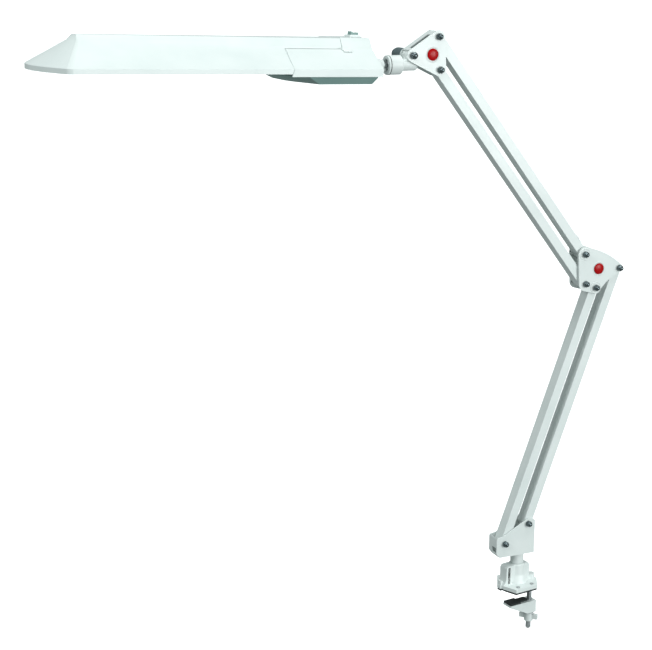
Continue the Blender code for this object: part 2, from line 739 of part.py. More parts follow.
# ---- pivots, bars and springs -----------------------------------------------
def pivot(name, spot, half, tail=None):
    """Bolt with an acorn nut at the near side, through two sheets.

    half is the outside of the sheets. A tail replaces the bolt's head with a
    plain end of that length.
    """
    seat = half + GAP
    shoulder = seat + NUT_HEIGHT
    dome = arc((0.0, shoulder), NUT_RADIUS - 0.4 * MM, 90.0, 0.0, 4)
    profile = [(x, shoulder + (z - shoulder) * NUT_DOME / (NUT_RADIUS - 0.4 * MM)) for x, z in dome]
    profile[0] = (0.0, profile[0][1])
    profile += [(NUT_RADIUS, shoulder - 0.4 * MM), (NUT_RADIUS, seat), (BOLT_RADIUS, seat)]
    if tail:
        profile += [(BOLT_RADIUS, -seat - tail), (0.0, -seat - tail)]
    else:
        end = -seat - BOLT_HEAD
        profile += [(BOLT_RADIUS, -seat), (NUT_RADIUS, -seat), (NUT_RADIUS, end), (0.0, end)]
    bolt = turned(name, profile, 12)
    along_y(bolt, spot)
    finish(bolt, "chrome")


def bar(name, start, lean, length):
    """Open channel bar from a pin, its back wall on the upper-left side."""
    half = BAR_WIDTH / 2
    outline = belt([(0, 0), (length, 0)], [half, half], 6)
    item = extruded(name, [outline], -BAR_DEPTH / 2, BAR_DEPTH / 2)
    inner = BAR_DEPTH / 2 - BAR_WALL
    hollow = box(
        name + "_hollow",
        (-BAR_WIDTH, -inner, -BAR_WIDTH),
        (length + BAR_WIDTH, inner, half - BAR_WALL),
        item,
    )
    combine(item, hollow)
    pin_cut(item, name + "_hole_start", (0, 0), parent=item)
    pin_cut(item, name + "_hole_end", (length, 0), parent=item)
    item.location = (start.x, 0, start.y)
    item.rotation_euler = (0, -lean, 0)
    finish(item, "white_paint")
    return item


def spring_pieces(name, owner, length):
    """Tension spring with its pull rod, and the anchor clip in the channel."""
    inner = BAR_DEPTH / 2 - BAR_WALL - GAP
    half = BAR_WIDTH / 2
    stop = ANCHOR_START + ANCHOR_LENGTH
    clip = box(
        name + "_Anchor",
        (ANCHOR_START, -inner, -half - ANCHOR_LIP),
        (stop, inner, -half + 2.0 * MM),
        owner,
    )
    finish(clip, "zinc_steel")
    start = stop + GAP
    end = start + SPRING_LENGTH
    pitch = SPRING_LENGTH / SPRING_TURNS
    profile = [(0.0, length - half - MM), (SPRING_ROD_RADIUS, length - half - MM), (SPRING_ROD_RADIUS, end)]
    for i in range(SPRING_TURNS):
        high = end - i * pitch
        profile += [(SPRING_RADIUS - 0.8 * MM, high), (SPRING_RADIUS, high - pitch / 2)]
    profile += [(SPRING_RADIUS - 0.8 * MM, start), (0.0, start)]
    spring = turned(name + "_Spring", profile, 10, owner)
    spring.location = (0, 0, -0.5 * MM)
    spring.rotation_euler = (0, math.pi / 2, 0)
    finish(spring, "spring_steel")


def cap(name, spot, half, side):
    """Domed cap on the outer face of a plate."""
    base = half + GAP
    profile = [
        (0.0, base + CAP_HEIGHT),
        (CAP_RADIUS * 0.55, base + CAP_HEIGHT * 0.88),
        (CAP_RADIUS * 0.88, base + CAP_HEIGHT * 0.5),
        (CAP_RADIUS, base + CAP_HEIGHT * 0.15),
        (CAP_RADIUS, base),
        (0.0, base),
    ]
    item = turned(name, profile, 20)
    along_y(item, spot)
    if side > 0:
        item.rotation_euler = (-math.pi / 2, 0, 0)
    finish(item, "red_cap")


def spacer(name, spot, half):
    """Distance tube between two plates, behind the caps."""
    reach = half - GAP
    item = cylinder(name, SPACER_RADIUS, (0, -reach, 0), (0, reach, 0), 14)
    item.location = (spot.x, 0, spot.y)
    finish(item, "zinc_steel")


def strip(first, second, outer, inner):
    """Outline of a strip beside the line from first to second, on its right."""
    run = (second - first).normalized()
    side = Vector((run.y, -run.x))
    corners = (first + side * inner, first + side * outer, second + side * outer, second + side * inner)
    return [(c.x, c.y) for c in corners]


def elbow_pieces():
    """Two elbow plates with a rolled edge, their caps, spacer and pivots."""
    pins = [ELBOW_LEFT, ELBOW_LOW, ELBOW_RIGHT, ELBOW_TOP]
    radii = [ELBOW_RADIUS, ELBOW_RADIUS_LOW, ELBOW_RADIUS_RIGHT, ELBOW_RADIUS]
    bends = ((1, ELBOW_HOLLOW), (2, -ELBOW_CROWN))
    for name, side in (("Near", -1), ("Far", 1)):
        low, high = sorted((side * ELBOW_OUTER, side * ELBOW_INNER))
        outline = belt(pins, radii, 6, bends)
        plate = extruded("Elbow_Plate_" + name, [outline], low, high)
        edge = strip(ELBOW_TOP, ELBOW_LEFT, ELBOW_RADIUS - 0.05 * MM, ELBOW_RADIUS - SHEET)
        low, high = sorted((side * (ELBOW_OUTER - 0.2 * MM), side * (ELBOW_INNER - ELBOW_FLANGE)))
        combine(plate, extruded("elbow_flange_" + name, [edge], low, high), "UNION")
        for i, pin in enumerate(pins):
            pin_cut(plate, f"elbow_hole_{name}_{i}", pin)
        finish(plate, "white_paint")
        cap("Elbow_Cap_" + name, ELBOW_LOW + ELBOW_CAP, ELBOW_OUTER, side)
    spacer("Elbow_Spacer", ELBOW_LOW + ELBOW_CAP, ELBOW_INNER)
    for name, pin in zip(("Left", "Low", "Right", "Top"), pins):
        pivot("Pivot_Elbow_" + name, pin, ELBOW_OUTER)


def head_bracket_pieces():
    """Triangular head bracket, folded over its upper side, and its pivots."""
    pins = [HEAD_PIN, HEAD_LOW, HEAD_TOP]
    outline = belt(pins, [HEAD_RADIUS] * 3, 6)
    bracket = extruded("Head_Bracket", [outline], -OUTER_HALF, -INNER_HALF)
    combine(bracket, extruded("far_sheet", [outline], INNER_HALF, OUTER_HALF), "UNION")
    web = strip(HEAD_TOP, HEAD_PIN, HEAD_RADIUS - 0.05 * MM, HEAD_RADIUS - SHEET)
    inset = OUTER_HALF - 0.2 * MM
    combine(bracket, extruded("web", [web], -inset, inset), "UNION")
    run = (HEAD_PIN - HEAD_TOP).normalized()
    low = HEAD_PIN - run * SLOT_START
    high = low - run * SLOT_LENGTH
    slot = strip(high, low, HEAD_RADIUS + MM, HEAD_RADIUS - SHEET - MM)
    combine(bracket, extruded("web_slot", [slot], GAP - INNER_HALF, SLOT_WIDTH - INNER_HALF))
    for name, pin in zip(("tilt", "low", "top"), pins):
        pin_cut(bracket, "head_hole_" + name, pin)
    finish(bracket, "white_paint")
    cap("Head_Cap_Near", HEAD_TOP + HEAD_CAP, OUTER_HALF, -1)
    cap("Head_Cap_Far", HEAD_TOP + HEAD_CAP, OUTER_HALF, 1)
    spacer("Head_Spacer", HEAD_TOP + HEAD_CAP, INNER_HALF)
    pivot("Pivot_Head_Top", HEAD_TOP, OUTER_HALF)
    pivot("Pivot_Head_Low", HEAD_LOW, OUTER_HALF)
    pivot("Pivot_Head_Tilt", HEAD_PIN, OUTER_HALF, tail=6.0 * MM)


def swivel_pieces():
    """Socket with its shank and eye, the retaining ring and the tilt knob."""
    seat = BALL_RADIUS + 0.4 * MM
    bowl = arc((0.0, -BALL_SET), seat, -90.0, 0.0, 5)
    bowl[0] = (0.0, bowl[0][1])
    end = -COLLAR_LENGTH - SHANK_LENGTH
    profile = bowl + [
        (seat, -GAP),
        (COLLAR_RADIUS - 0.6 * MM, -GAP),
        (COLLAR_RADIUS, -0.9 * MM),
        (COLLAR_RADIUS, -COLLAR_LENGTH + MM),
        (COLLAR_RADIUS - MM, -COLLAR_LENGTH),
        (SHANK_RADIUS, -COLLAR_LENGTH),
        (SHANK_RADIUS, end + 3.0 * MM),
        (SHANK_RADIUS * 0.75, end + 0.8 * MM),
        (0.0, end),
    ]
    body = turned("Swivel_Body", profile, 20)
    body.location = (RING_PLACE.x, 0, RING_PLACE.y)
    body.rotation_euler = (0, -math.pi / 2, 0)
    eye_radius = EYE_RADIUS - SHEET
    reach = BAR_DEPTH / 2
    eye = cylinder("eye", eye_radius, (HEAD_PIN.x, -reach, HEAD_PIN.y), (HEAD_PIN.x, reach, HEAD_PIN.y), 20)
    combine(body, eye, "UNION")
    neck = box(
        "eye_neck",
        (HEAD_PIN.x - eye_radius + 0.1 * MM, -SHANK_RADIUS + MM, RING_PLACE.y + MM),
        (HEAD_PIN.x + eye_radius - 0.1 * MM, SHANK_RADIUS - MM, HEAD_PIN.y),
    )
    combine(body, neck, "UNION")
    pin_cut(body, "eye_hole", HEAD_PIN)
    finish(body, "white_plastic")
    rim = COLLAR_RADIUS + 0.1 * MM
    loop = [
        (rim - 0.5 * MM, RING_THICK),
        (rim, RING_THICK - 0.5 * MM),
        (rim, 0.0),
        (RING_BORE, 0.0),
        (RING_BORE + 0.8 * MM, RING_THICK),
    ]
    ring = turned("Swivel_Ring", loop, 24, closed=True)
    ring.location = (RING_PLACE.x, 0, RING_PLACE.y)
    ring.rotation_euler = (0, -math.pi / 2, 0)
    finish(ring, "white_plastic")
    top = -OUTER_HALF - GAP
    low = top - KNOB_LENGTH
    profile = [
        (0.0, top - 7.0 * MM),
        (BOLT_HOLE, top - 7.0 * MM),
        (BOLT_HOLE, top),
        (KNOB_RADIUS * 0.8, top),
        (KNOB_RADIUS * 0.8, top - 3.0 * MM),
        (KNOB_RADIUS, top - 3.6 * MM),
        (KNOB_RADIUS, low + 3.0 * MM),
        (KNOB_RADIUS * 0.75, low + 0.8 * MM),
        (0.0, low),
    ]
    knob = turned("Tilt_Knob", profile, 20)
    along_y(knob, HEAD_PIN)
    finish(knob, "dark_plastic")


# ---- head pieces ------------------------------------------------------------
def share_along(x):
    """0 at the head's right end, 1 at the top's left tip."""
    return (x - HEAD_END) / (TOP_TIP - HEAD_END)


def crease_at(x):
    """Half width and height of the crease at a place along the head."""
    share = share_along(x)
    half = CREASE_HALF_END + (CREASE_HALF_TIP - CREASE_HALF_END) * share
    drop = CREASE_DROP_END + (CREASE_DROP_TIP - CREASE_DROP_END) * share
    return half, TOP_HEIGHT - drop


def head_level(half_end, half_tip, tip, corner, bow, high_end, high_tip, end):
    """One level of the head shell: an open path from near to far round the tip."""
    near = [(end, -half_end, high_end)]
    turn = (tip + 0.6 * corner, -half_tip + corner)
    near += [(x, y, high_tip) for x, y in arc(turn, corner, 270.0, 207.0, 3)]
    for share in (0.75, 0.4):
        near.append((tip - bow * (1 - share**2), -half_tip * share, high_tip))
    middle = [(tip - bow, 0.0, high_tip)]
    far = [(x, -y, z) for x, y, z in reversed(near)]
    return near + middle + far


def head_shell(name, proud, flange, parent):
    """Open-bottomed shell over the head.

    proud moves its outer face out, and flange carries its rim further down.
    """
    end = HEAD_END + proud
    end_low = end - END_SLANT
    low = RIM_LOW - flange
    lip = RIM_LOW + RIM_LIP
    crease_end = TOP_HEIGHT - CREASE_DROP_END + proud
    crease_high = TOP_HEIGHT - CREASE_DROP_TIP + proud
    rim = RIM_HALF + proud
    tip = RIM_TIP - proud
    crease_tip = TOP_TIP - 2.0 * MM - proud
    crease_half_end = CREASE_HALF_END + proud
    crease_half_tip = CREASE_HALF_TIP + proud
    top = TOP_HEIGHT + proud
    levels = [
        head_level(rim, rim, tip, RIM_CORNER, TIP_BOW, low, low, end_low),
        head_level(rim, rim, tip, RIM_CORNER, TIP_BOW, lip, lip, end_low + MM),
        head_level(
            crease_half_end,
            crease_half_tip,
            crease_tip,
            3.0 * MM,
            MM,
            crease_end,
            crease_high,
            end,
        ),
        head_level(TOP_HALF_END, TOP_HALF_TIP, TOP_TIP, 2.0 * MM, 0.5 * MM, top, top, end),
    ]
    mesh = bpy.data.meshes.new(name)
    shape = bmesh.new()
    rows = [[shape.verts.new(point) for point in level] for level in levels]
    for below, above in zip(rows, rows[1:]):
        for i in range(len(below) - 1):
            shape.faces.new((below[i], below[i + 1], above[i + 1], above[i]))
        shape.faces.new((below[-1], below[0], above[0], above[-1]))
    shape.faces.new(rows[-1])
    bmesh.ops.recalc_face_normals(shape, faces=shape.faces)
    shape.faces.ensure_lookup_table()
    lid = max(shape.faces, key=lambda face: face.calc_center_median().z)
    if lid.normal.z < 0:
        bmesh.ops.reverse_faces(shape, faces=shape.faces)
    shape.to_mesh(mesh)
    shape.free()
    item = new_object(name, mesh, parent)
    wall = item.modifiers.new("Solidify", "SOLIDIFY")
    wall.thickness = SHELL
    wall.offset = -1.0
    wall.use_even_offset = True
    return item


def seam_prism(name, gap, parent):
    """Space that belongs to the housing, drawn back from the seam by gap."""
    slope = (SEAM_HIGH - SEAM_LOW) / (SEAM_LEVEL - RIM_LOW)
    low = RIM_LOW - 5.0 * MM
    far = HEAD_END + 20.0 * MM
    high = TOP_HEIGHT + 20.0 * MM
    outline = [
        (SEAM_LOW - slope * 5.0 * MM + gap, low),
        (far, low),
        (far, high),
        (SEAM_TOP + gap, high),
        (SEAM_TOP + gap, SEAM_LEVEL - gap),
        (SEAM_HIGH + gap, SEAM_LEVEL - gap),
    ]
    return extruded(name, [outline], -0.08, 0.08, True, parent)


def shell_pieces(frame):
    """Shade and end housing, cut from one hollow form along a stepped seam."""
    shade = head_shell("Shade", 0.0, 0.0, frame)
    combine(shade, seam_prism("housing_space", 0.0, frame))
    finish(shade, "shade_plastic")
    housing = head_shell("Housing", HOUSING_PROUD, HOUSING_FLANGE, frame)
    combine(housing, seam_prism("housing_part", GAP, frame), "INTERSECT")
    x, y = SWITCH_PLACE
    half_x = ROCKER_LENGTH / 2 + 2.0 * MM
    half_y = ROCKER_WIDTH / 2 + 1.7 * MM
    window = box(
        "switch_window",
        (x - half_x, y - half_y, TOP_HEIGHT - 5.0 * MM),
        (x + half_x, y + half_y, TOP_HEIGHT + 5.0 * MM),
        frame,
    )
    combine(housing, window)
    y, z = GLAND_PLACE
    start = (HEAD_END - 5.0 * MM, y, z)
    end = (HEAD_END + 5.0 * MM, y, z)
    combine(housing, cylinder("gland_hole", GLAND_RADIUS + GAP, start, end, 16, frame))
    finish(housing, "shade_plastic")
    profile = [
        (GLAND_RADIUS + 1.2 * MM, 2.4 * MM),
        (GLAND_RADIUS + 1.6 * MM, 1.6 * MM),
        (GLAND_RADIUS + 1.6 * MM, GAP),
        (GLAND_RADIUS, GAP),
        (GLAND_RADIUS, -4.0 * MM),
        (GLAND_BORE, -4.0 * MM),
        (GLAND_BORE, 2.4 * MM),
    ]
    gland = turned("Cable_Gland", profile, 16, frame, closed=True)
    gland.location = (HEAD_END + HOUSING_PROUD, y, z)
    gland.rotation_euler = (0, math.pi / 2, 0)
    finish(gland, "grey_plastic")


def clip_pieces(frame):
    """Latch clips that hold the housing over the shade, one each side."""
    place = SEAM_TOP + CLIP_LENGTH / 2 - 2.0 * MM
    half, high = crease_at(place)
    top = Vector((-half - HOUSING_PROUD, high + HOUSING_PROUD))
    foot = Vector((-RIM_HALF - HOUSING_PROUD, RIM_LOW + RIM_LIP))
    run = (foot - top).normalized()
    out = Vector((run.y, -run.x))
    spot = top + run * (CLIP_HEIGHT / 2 + MM) + out * (GAP + CLIP_THICK / 2)
    tilt = math.atan2(-run.y, -run.x)
    for name, side in (("Near", 1), ("Far", -1)):
        low = (-CLIP_LENGTH / 2, -CLIP_HEIGHT / 2, -CLIP_THICK / 2)
        high = (CLIP_LENGTH / 2, CLIP_HEIGHT / 2, CLIP_THICK / 2)
        clip = box("Cover_Clip_" + name, low, high, frame)
        clip.location = (place, side * spot.x, spot.y)
        clip.rotation_euler = (side * tilt, 0, 0)
        finish(clip, "white_plastic")


def cover_level(left, right, half, bow, high):
    """One level of the bottom cover: a closed loop with a blunt nose."""
    cut = COVER_CORNER
    plan = [
        (left + bow, -half),
        (right - cut, -half),
        (right, -half + cut),
        (right, half - cut),
        (right - cut, half),
        (left + bow, half),
        (left, COVER_NOSE),
        (left, -COVER_NOSE),
    ]
    return [(x, y, high) for x, y in plan]


def cover_pieces(frame):
    """Tray under the housing, with its two screws."""
    top = RIM_LOW - HOUSING_FLANGE - GAP
    bottom = top - COVER_DEPTH
    end = COVER_END - COVER_SLANT
    levels = [
        cover_level(COVER_START, COVER_END, COVER_HALF, COVER_BOW_TOP, top),
        cover_level(COVER_START, COVER_END, COVER_HALF, COVER_BOW_TOP, top - COVER_LIP),
        cover_level(COVER_START + COVER_RAMP, end, COVER_HALF - COVER_INSET, COVER_BOW_LOW, bottom),
    ]
    mesh = bpy.data.meshes.new("Bottom_Cover")
    shape = bmesh.new()
    rows = [[shape.verts.new(point) for point in level] for level in levels]
    for high, low in zip(rows, rows[1:]):
        for i in range(len(low)):
            k = (i + 1) % len(low)
            shape.faces.new((high[i], low[i], low[k], high[k]))
    shape.faces.new(list(reversed(rows[-1])))
    bmesh.ops.recalc_face_normals(shape, faces=shape.faces)
    shape.faces.ensure_lookup_table()
    base = min(shape.faces, key=lambda face: face.calc_center_median().z)
    if base.normal.z > 0:
        bmesh.ops.reverse_faces(shape, faces=shape.faces)
    shape.to_mesh(mesh)
    shape.free()
    cover = new_object("Bottom_Cover", mesh, frame)
    wall = cover.modifiers.new("Solidify", "SOLIDIFY")
    wall.thickness = SHELL
    wall.offset = -1.0
    wall.use_even_offset = True
    finish(cover, "grey_plastic")
    for i, side in enumerate((-1, 1)):
        x = end - 8.0 * MM
        y = side * (DRIVER_WIDTH / 2 + 7.0 * MM)
        hole = cylinder(
            f"cover_hole_{i}",
            SCREW_RADIUS + GAP,
            (x, y, bottom - MM),
            (x, y, bottom + SHELL + MM),
            12,
            frame,
        )
        combine(cover, hole)
        profile = [
            (0.0, 9.0 * MM),
            (SCREW_RADIUS, 9.0 * MM),
            (SCREW_RADIUS, -GAP),
            (SCREW_HEAD_RADIUS, -GAP),
            (SCREW_HEAD_RADIUS, -GAP - 0.5 * MM),
            (SCREW_HEAD_RADIUS * 0.7, -GAP - SCREW_HEAD_HEIGHT),
            (0.0, -GAP - SCREW_HEAD_HEIGHT),
        ]
        screw = turned(f"Cover_Screw_{i + 1}", profile, 12, frame)
        screw.location = (x, y, bottom)
        finish(screw, "zinc_steel")


def neck_pieces(ball_frame, frame):
    """Ball with its stem, and the neck that turns on the stem."""
    stem_end = -STEM_LENGTH
    join = math.degrees(math.asin(STEM_RADIUS / BALL_RADIUS))
    ball = arc((0.0, 0.0), BALL_RADIUS, 90.0, -90.0 + join, 8)
    ball[0] = (0.0, BALL_RADIUS)
    profile = ball + [(STEM_RADIUS, stem_end - BALL_SET), (0.0, stem_end - BALL_SET)]
    stem = turned("Ball_Stem", profile, 16, ball_frame)
    stem.rotation_euler = (0, math.pi / 2, 0)
    finish(stem, "zinc_steel")
    bore = STEM_RADIUS + GAP
    mouth = -7.0 * MM
    back = HEAD_END + HOUSING_PROUD + GAP
    profile = [
        (0.0, stem_end - GAP),
        (bore, stem_end - GAP),
        (bore, mouth),
        (NECK_END_RADIUS, mouth),
        (NECK_RADIUS, mouth - 8.0 * MM),
        (NECK_RADIUS, back),
        (0.0, back),
    ]
    neck = turned("Neck", profile, 20, frame)
    neck.rotation_euler = (0, math.pi / 2, 0)
    finish(neck, "white_plastic")


def switch_pieces(frame):
    """Switch bezel with its pocket, and the rocker."""
    x, y = SWITCH_PLACE
    seat = TOP_HEIGHT + HOUSING_PROUD + GAP
    rim = seat + SWITCH_LIP
    bezel = box(
        "Switch_Bezel",
        (x - SWITCH_LENGTH / 2, y - SWITCH_WIDTH / 2, seat),
        (x + SWITCH_LENGTH / 2, y + SWITCH_WIDTH / 2, rim),
        frame,
    )
    half_x = ROCKER_LENGTH / 2 + 1.7 * MM
    half_y = ROCKER_WIDTH / 2 + 1.4 * MM
    skirt = box(
        "switch_skirt",
        (x - half_x, y - half_y, seat - 9.0 * MM),
        (x + half_x, y + half_y, seat + MM),
        frame,
    )
    combine(bezel, skirt, "UNION")
    pocket = box(
        "switch_pocket",
        (x - half_x + MM, y - half_y + MM, seat - 8.0 * MM),
        (x + half_x - MM, y + half_y - MM, rim + MM),
        frame,
    )
    combine(bezel, pocket)
    finish(bezel, "white_plastic")
    half = ROCKER_LENGTH / 2
    outline = [
        (-half, -3.0 * MM),
        (half, -3.0 * MM),
        (half, ROCKER_RISE),
        (0.0, ROCKER_RISE - 1.2 * MM),
        (-half, ROCKER_RISE),
    ]
    wide = ROCKER_WIDTH / 2
    rocker = extruded("Switch_Rocker", [outline], -wide, wide, True, frame)
    rocker.location = (x, y, seat + 0.4 * MM)
    rocker.rotation_euler = (0, ROCKER_LEAN, 0)
    finish(rocker, "grey_plastic")


def lamp_pieces(frame):
    """Twin-tube lamp with its base, the holder, the driver and the reflector."""
    half = TUBE_SPACING / 2
    curve = bpy.data.curves.new("tube_path", "CURVE")
    curve.dimensions = "3D"
    curve.bevel_depth = TUBE_RADIUS
    curve.bevel_resolution = 2
    curve.use_fill_caps = True
    bend = TUBE_TIP + TUBE_RADIUS + half
    turn = arc((bend, 0.0), half, 270.0, 90.0, 8)
    route = [(TUBE_START, -half)] + turn + [(TUBE_START, half)]
    spline = curve.splines.new("POLY")
    spline.points.add(len(route) - 1)
    for point, (x, y) in zip(spline.points, route):
        point.co = (x, y, TUBE_HEIGHT, 1.0)
    path = bpy.data.objects.new("tube_path", curve)
    PARTS.objects.link(path)
    bpy.context.view_layer.update()
    graph = bpy.context.evaluated_depsgraph_get()
    mesh = bpy.data.meshes.new_from_object(path.evaluated_get(graph))
    bpy.data.objects.remove(path, do_unlink=True)
    shape = bmesh.new()
    shape.from_mesh(mesh)
    bmesh.ops.remove_doubles(shape, verts=shape.verts, dist=0.00001)
    bmesh.ops.recalc_face_normals(shape, faces=shape.faces)
    shape.to_mesh(mesh)
    shape.free()
    mesh.name = "Lamp_Tube"
    tube = new_object("Lamp_Tube", mesh, frame)
    finish(tube, "tube_glass")
    front = TUBE_START + GAP
    back = front + LAMP_BASE_LENGTH
    low = TUBE_HEIGHT - LAMP_BASE_HEIGHT / 2
    high = TUBE_HEIGHT + LAMP_BASE_HEIGHT / 2
    base = box("Lamp_Base", (front, -LAMP_BASE_WIDTH / 2, low), (back, LAMP_BASE_WIDTH / 2, high), frame)
    plug = box(
        "plug",
        (back - MM, -PLUG_WIDTH / 2, TUBE_HEIGHT - PLUG_HEIGHT / 2),
        (back + PLUG_LENGTH, PLUG_WIDTH / 2, TUBE_HEIGHT + PLUG_HEIGHT / 2),
        frame,
    )
    combine(base, plug, "UNION")
    finish(base, "lamp_ceramic")
    floor = RIM_LOW - HOUSING_FLANGE - COVER_DEPTH + SHELL
    start = back + GAP
    holder = box(
        "Lamp_Holder",
        (start, -HOLDER_WIDTH / 2, floor),
        (start + HOLDER_LENGTH, HOLDER_WIDTH / 2, high),
        frame,
    )
    clear = GAP
    socket = box(
        "socket",
        (start - MM, -PLUG_WIDTH / 2 - clear, TUBE_HEIGHT - PLUG_HEIGHT / 2 - clear),
        (back + PLUG_LENGTH + clear, PLUG_WIDTH / 2 + clear, TUBE_HEIGHT + PLUG_HEIGHT / 2 + clear),
        frame,
    )
    combine(holder, socket)
    finish(holder, "lamp_ceramic")
    start += HOLDER_LENGTH + 3.0 * MM
    driver = box(
        "Driver",
        (start, -DRIVER_WIDTH / 2, floor),
        (start + DRIVER_LENGTH, DRIVER_WIDTH / 2, DRIVER_TOP),
        frame,
    )
    finish(driver, "grey_plastic")
    slope = (REFLECTOR_TOP - REFLECTOR_FOOT) / (REFLECTOR_HALF - REFLECTOR_FLAT)
    drop = REFLECTOR_THICK * math.hypot(1.0, slope)
    upper = [
        (REFLECTOR_HALF, REFLECTOR_FOOT),
        (REFLECTOR_FLAT, REFLECTOR_TOP),
        (-REFLECTOR_FLAT, REFLECTOR_TOP),
        (-REFLECTOR_HALF, REFLECTOR_FOOT),
    ]
    lower = [(x, z - drop) for x, z in reversed(upper)]
    span = (-TUBE_START + 2.0 * MM, -TUBE_TIP + 4.0 * MM)
    reflector = extruded("Reflector", [upper + lower], span[0], span[1], True, frame)
    reflector.rotation_euler = (0, 0, math.pi / 2)
    finish(reflector, "reflector_white")


def build_lamp():
    """Build every piece of the desk lamp."""
    clamp_frame = empty("Clamp_Frame", (0, 0, 0), (0, 0, CLAMP_TURN))
    clamp_base(clamp_frame)
    clamp_trim(clamp_frame)
    jaw_pieces(clamp_frame)
    base_pieces()
    pivot("Pivot_Base_Left", BASE_PIVOT, OUTER_HALF)
    pivot("Pivot_Base_Right", BASE_RIGHT, OUTER_HALF)
    bar("Lower_Bar_Left", BASE_PIVOT, LOWER_LEAN, LOWER_ARM)
    outer = bar("Lower_Bar_Right", BASE_RIGHT, LOWER_LEAN, LOWER_ARM)
    spring_pieces("Lower", outer, LOWER_ARM)
    elbow_pieces()
    bar("Upper_Bar_Low", ELBOW_LEFT, UPPER_LEAN, UPPER_ARM)
    outer = bar("Upper_Bar_Top", ELBOW_TOP, UPPER_LEAN, UPPER_ARM)
    spring_pieces("Upper", outer, UPPER_ARM)
    head_bracket_pieces()
    swivel_pieces()
    ball_place = (RING_PLACE.x + BALL_SET, 0, RING_PLACE.y)
    ball_frame = empty("Ball_Frame", ball_place, (0, HEAD_TILT, HEAD_TURN))
    head_frame = empty("Head_Frame", (-BALL_SET, 0, 0))
    head_frame.parent = ball_frame
    neck_pieces(ball_frame, head_frame)
    shell_pieces(head_frame)
    clip_pieces(head_frame)
    cover_pieces(head_frame)
    switch_pieces(head_frame)
    lamp_pieces(head_frame)
    for item in PARTS.objects:
        if item.type == "MESH":
            item.data.shade_smooth()
            item.data.set_sharp_from_angle(angle=math.radians(35.0))


build_lamp()
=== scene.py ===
"""Swing-arm desk lamp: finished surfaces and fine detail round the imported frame."""

from __future__ import annotations

import json
import logging
import math
from dataclasses import dataclass, field
from enum import Enum
from typing import Iterable, Sequence

import bmesh
import bpy
from mathutils import Matrix, Vector

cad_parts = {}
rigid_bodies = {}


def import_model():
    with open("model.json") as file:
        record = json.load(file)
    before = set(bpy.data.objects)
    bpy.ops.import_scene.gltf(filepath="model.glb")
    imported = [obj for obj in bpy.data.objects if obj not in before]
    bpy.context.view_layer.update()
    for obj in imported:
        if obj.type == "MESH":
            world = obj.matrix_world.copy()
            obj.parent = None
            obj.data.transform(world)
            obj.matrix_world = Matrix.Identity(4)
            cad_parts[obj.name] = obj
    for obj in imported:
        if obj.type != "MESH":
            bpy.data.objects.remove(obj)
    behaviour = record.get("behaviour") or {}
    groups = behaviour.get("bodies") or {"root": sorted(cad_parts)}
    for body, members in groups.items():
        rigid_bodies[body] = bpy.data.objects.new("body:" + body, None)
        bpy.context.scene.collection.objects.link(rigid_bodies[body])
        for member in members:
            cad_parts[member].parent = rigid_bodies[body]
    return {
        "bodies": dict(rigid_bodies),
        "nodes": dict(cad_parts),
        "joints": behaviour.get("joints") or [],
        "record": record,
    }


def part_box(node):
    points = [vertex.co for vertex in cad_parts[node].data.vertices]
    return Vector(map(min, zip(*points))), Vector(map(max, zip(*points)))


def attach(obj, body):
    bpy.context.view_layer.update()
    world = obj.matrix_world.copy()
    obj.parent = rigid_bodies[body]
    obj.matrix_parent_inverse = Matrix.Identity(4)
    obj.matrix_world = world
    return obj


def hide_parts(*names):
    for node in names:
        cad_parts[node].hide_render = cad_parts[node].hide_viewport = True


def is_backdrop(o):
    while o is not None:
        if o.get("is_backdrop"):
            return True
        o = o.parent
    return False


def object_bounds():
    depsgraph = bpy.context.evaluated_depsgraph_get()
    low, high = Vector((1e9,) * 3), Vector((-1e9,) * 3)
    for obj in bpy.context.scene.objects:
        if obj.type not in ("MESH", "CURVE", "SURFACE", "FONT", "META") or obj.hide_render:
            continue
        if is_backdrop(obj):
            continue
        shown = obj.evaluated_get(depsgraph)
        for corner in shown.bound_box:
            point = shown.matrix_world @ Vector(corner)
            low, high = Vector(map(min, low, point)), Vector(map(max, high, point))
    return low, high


LOG = logging.getLogger("desk_lamp")
MM = 0.001
MERGE = 0.000002
STEPS = 40
SHEET_OUTSIDE = 8.8 * MM
ELBOW_OUTSIDE = 10.1 * MM
CAP_RING = 7.2 * MM
MOTTLE_SCALE = 28.0
WEAR_SCALE = 220.0
GLOSS_SCALE = 340.0
EDGE_RADIUS = 0.0006
EDGE_START = 0.985
EDGE_FULL = 0.9

Profile = Sequence[tuple[float, float]]


class Grain(Enum):
    """How a finish breaks up the light close to."""

    PEEL = "orange peel of a powder coat"
    SPARK = "fine spark-eroded moulding texture"
    DRAWN = "fine lines of drawn or rolled metal"
    SMOOTH = "almost even"


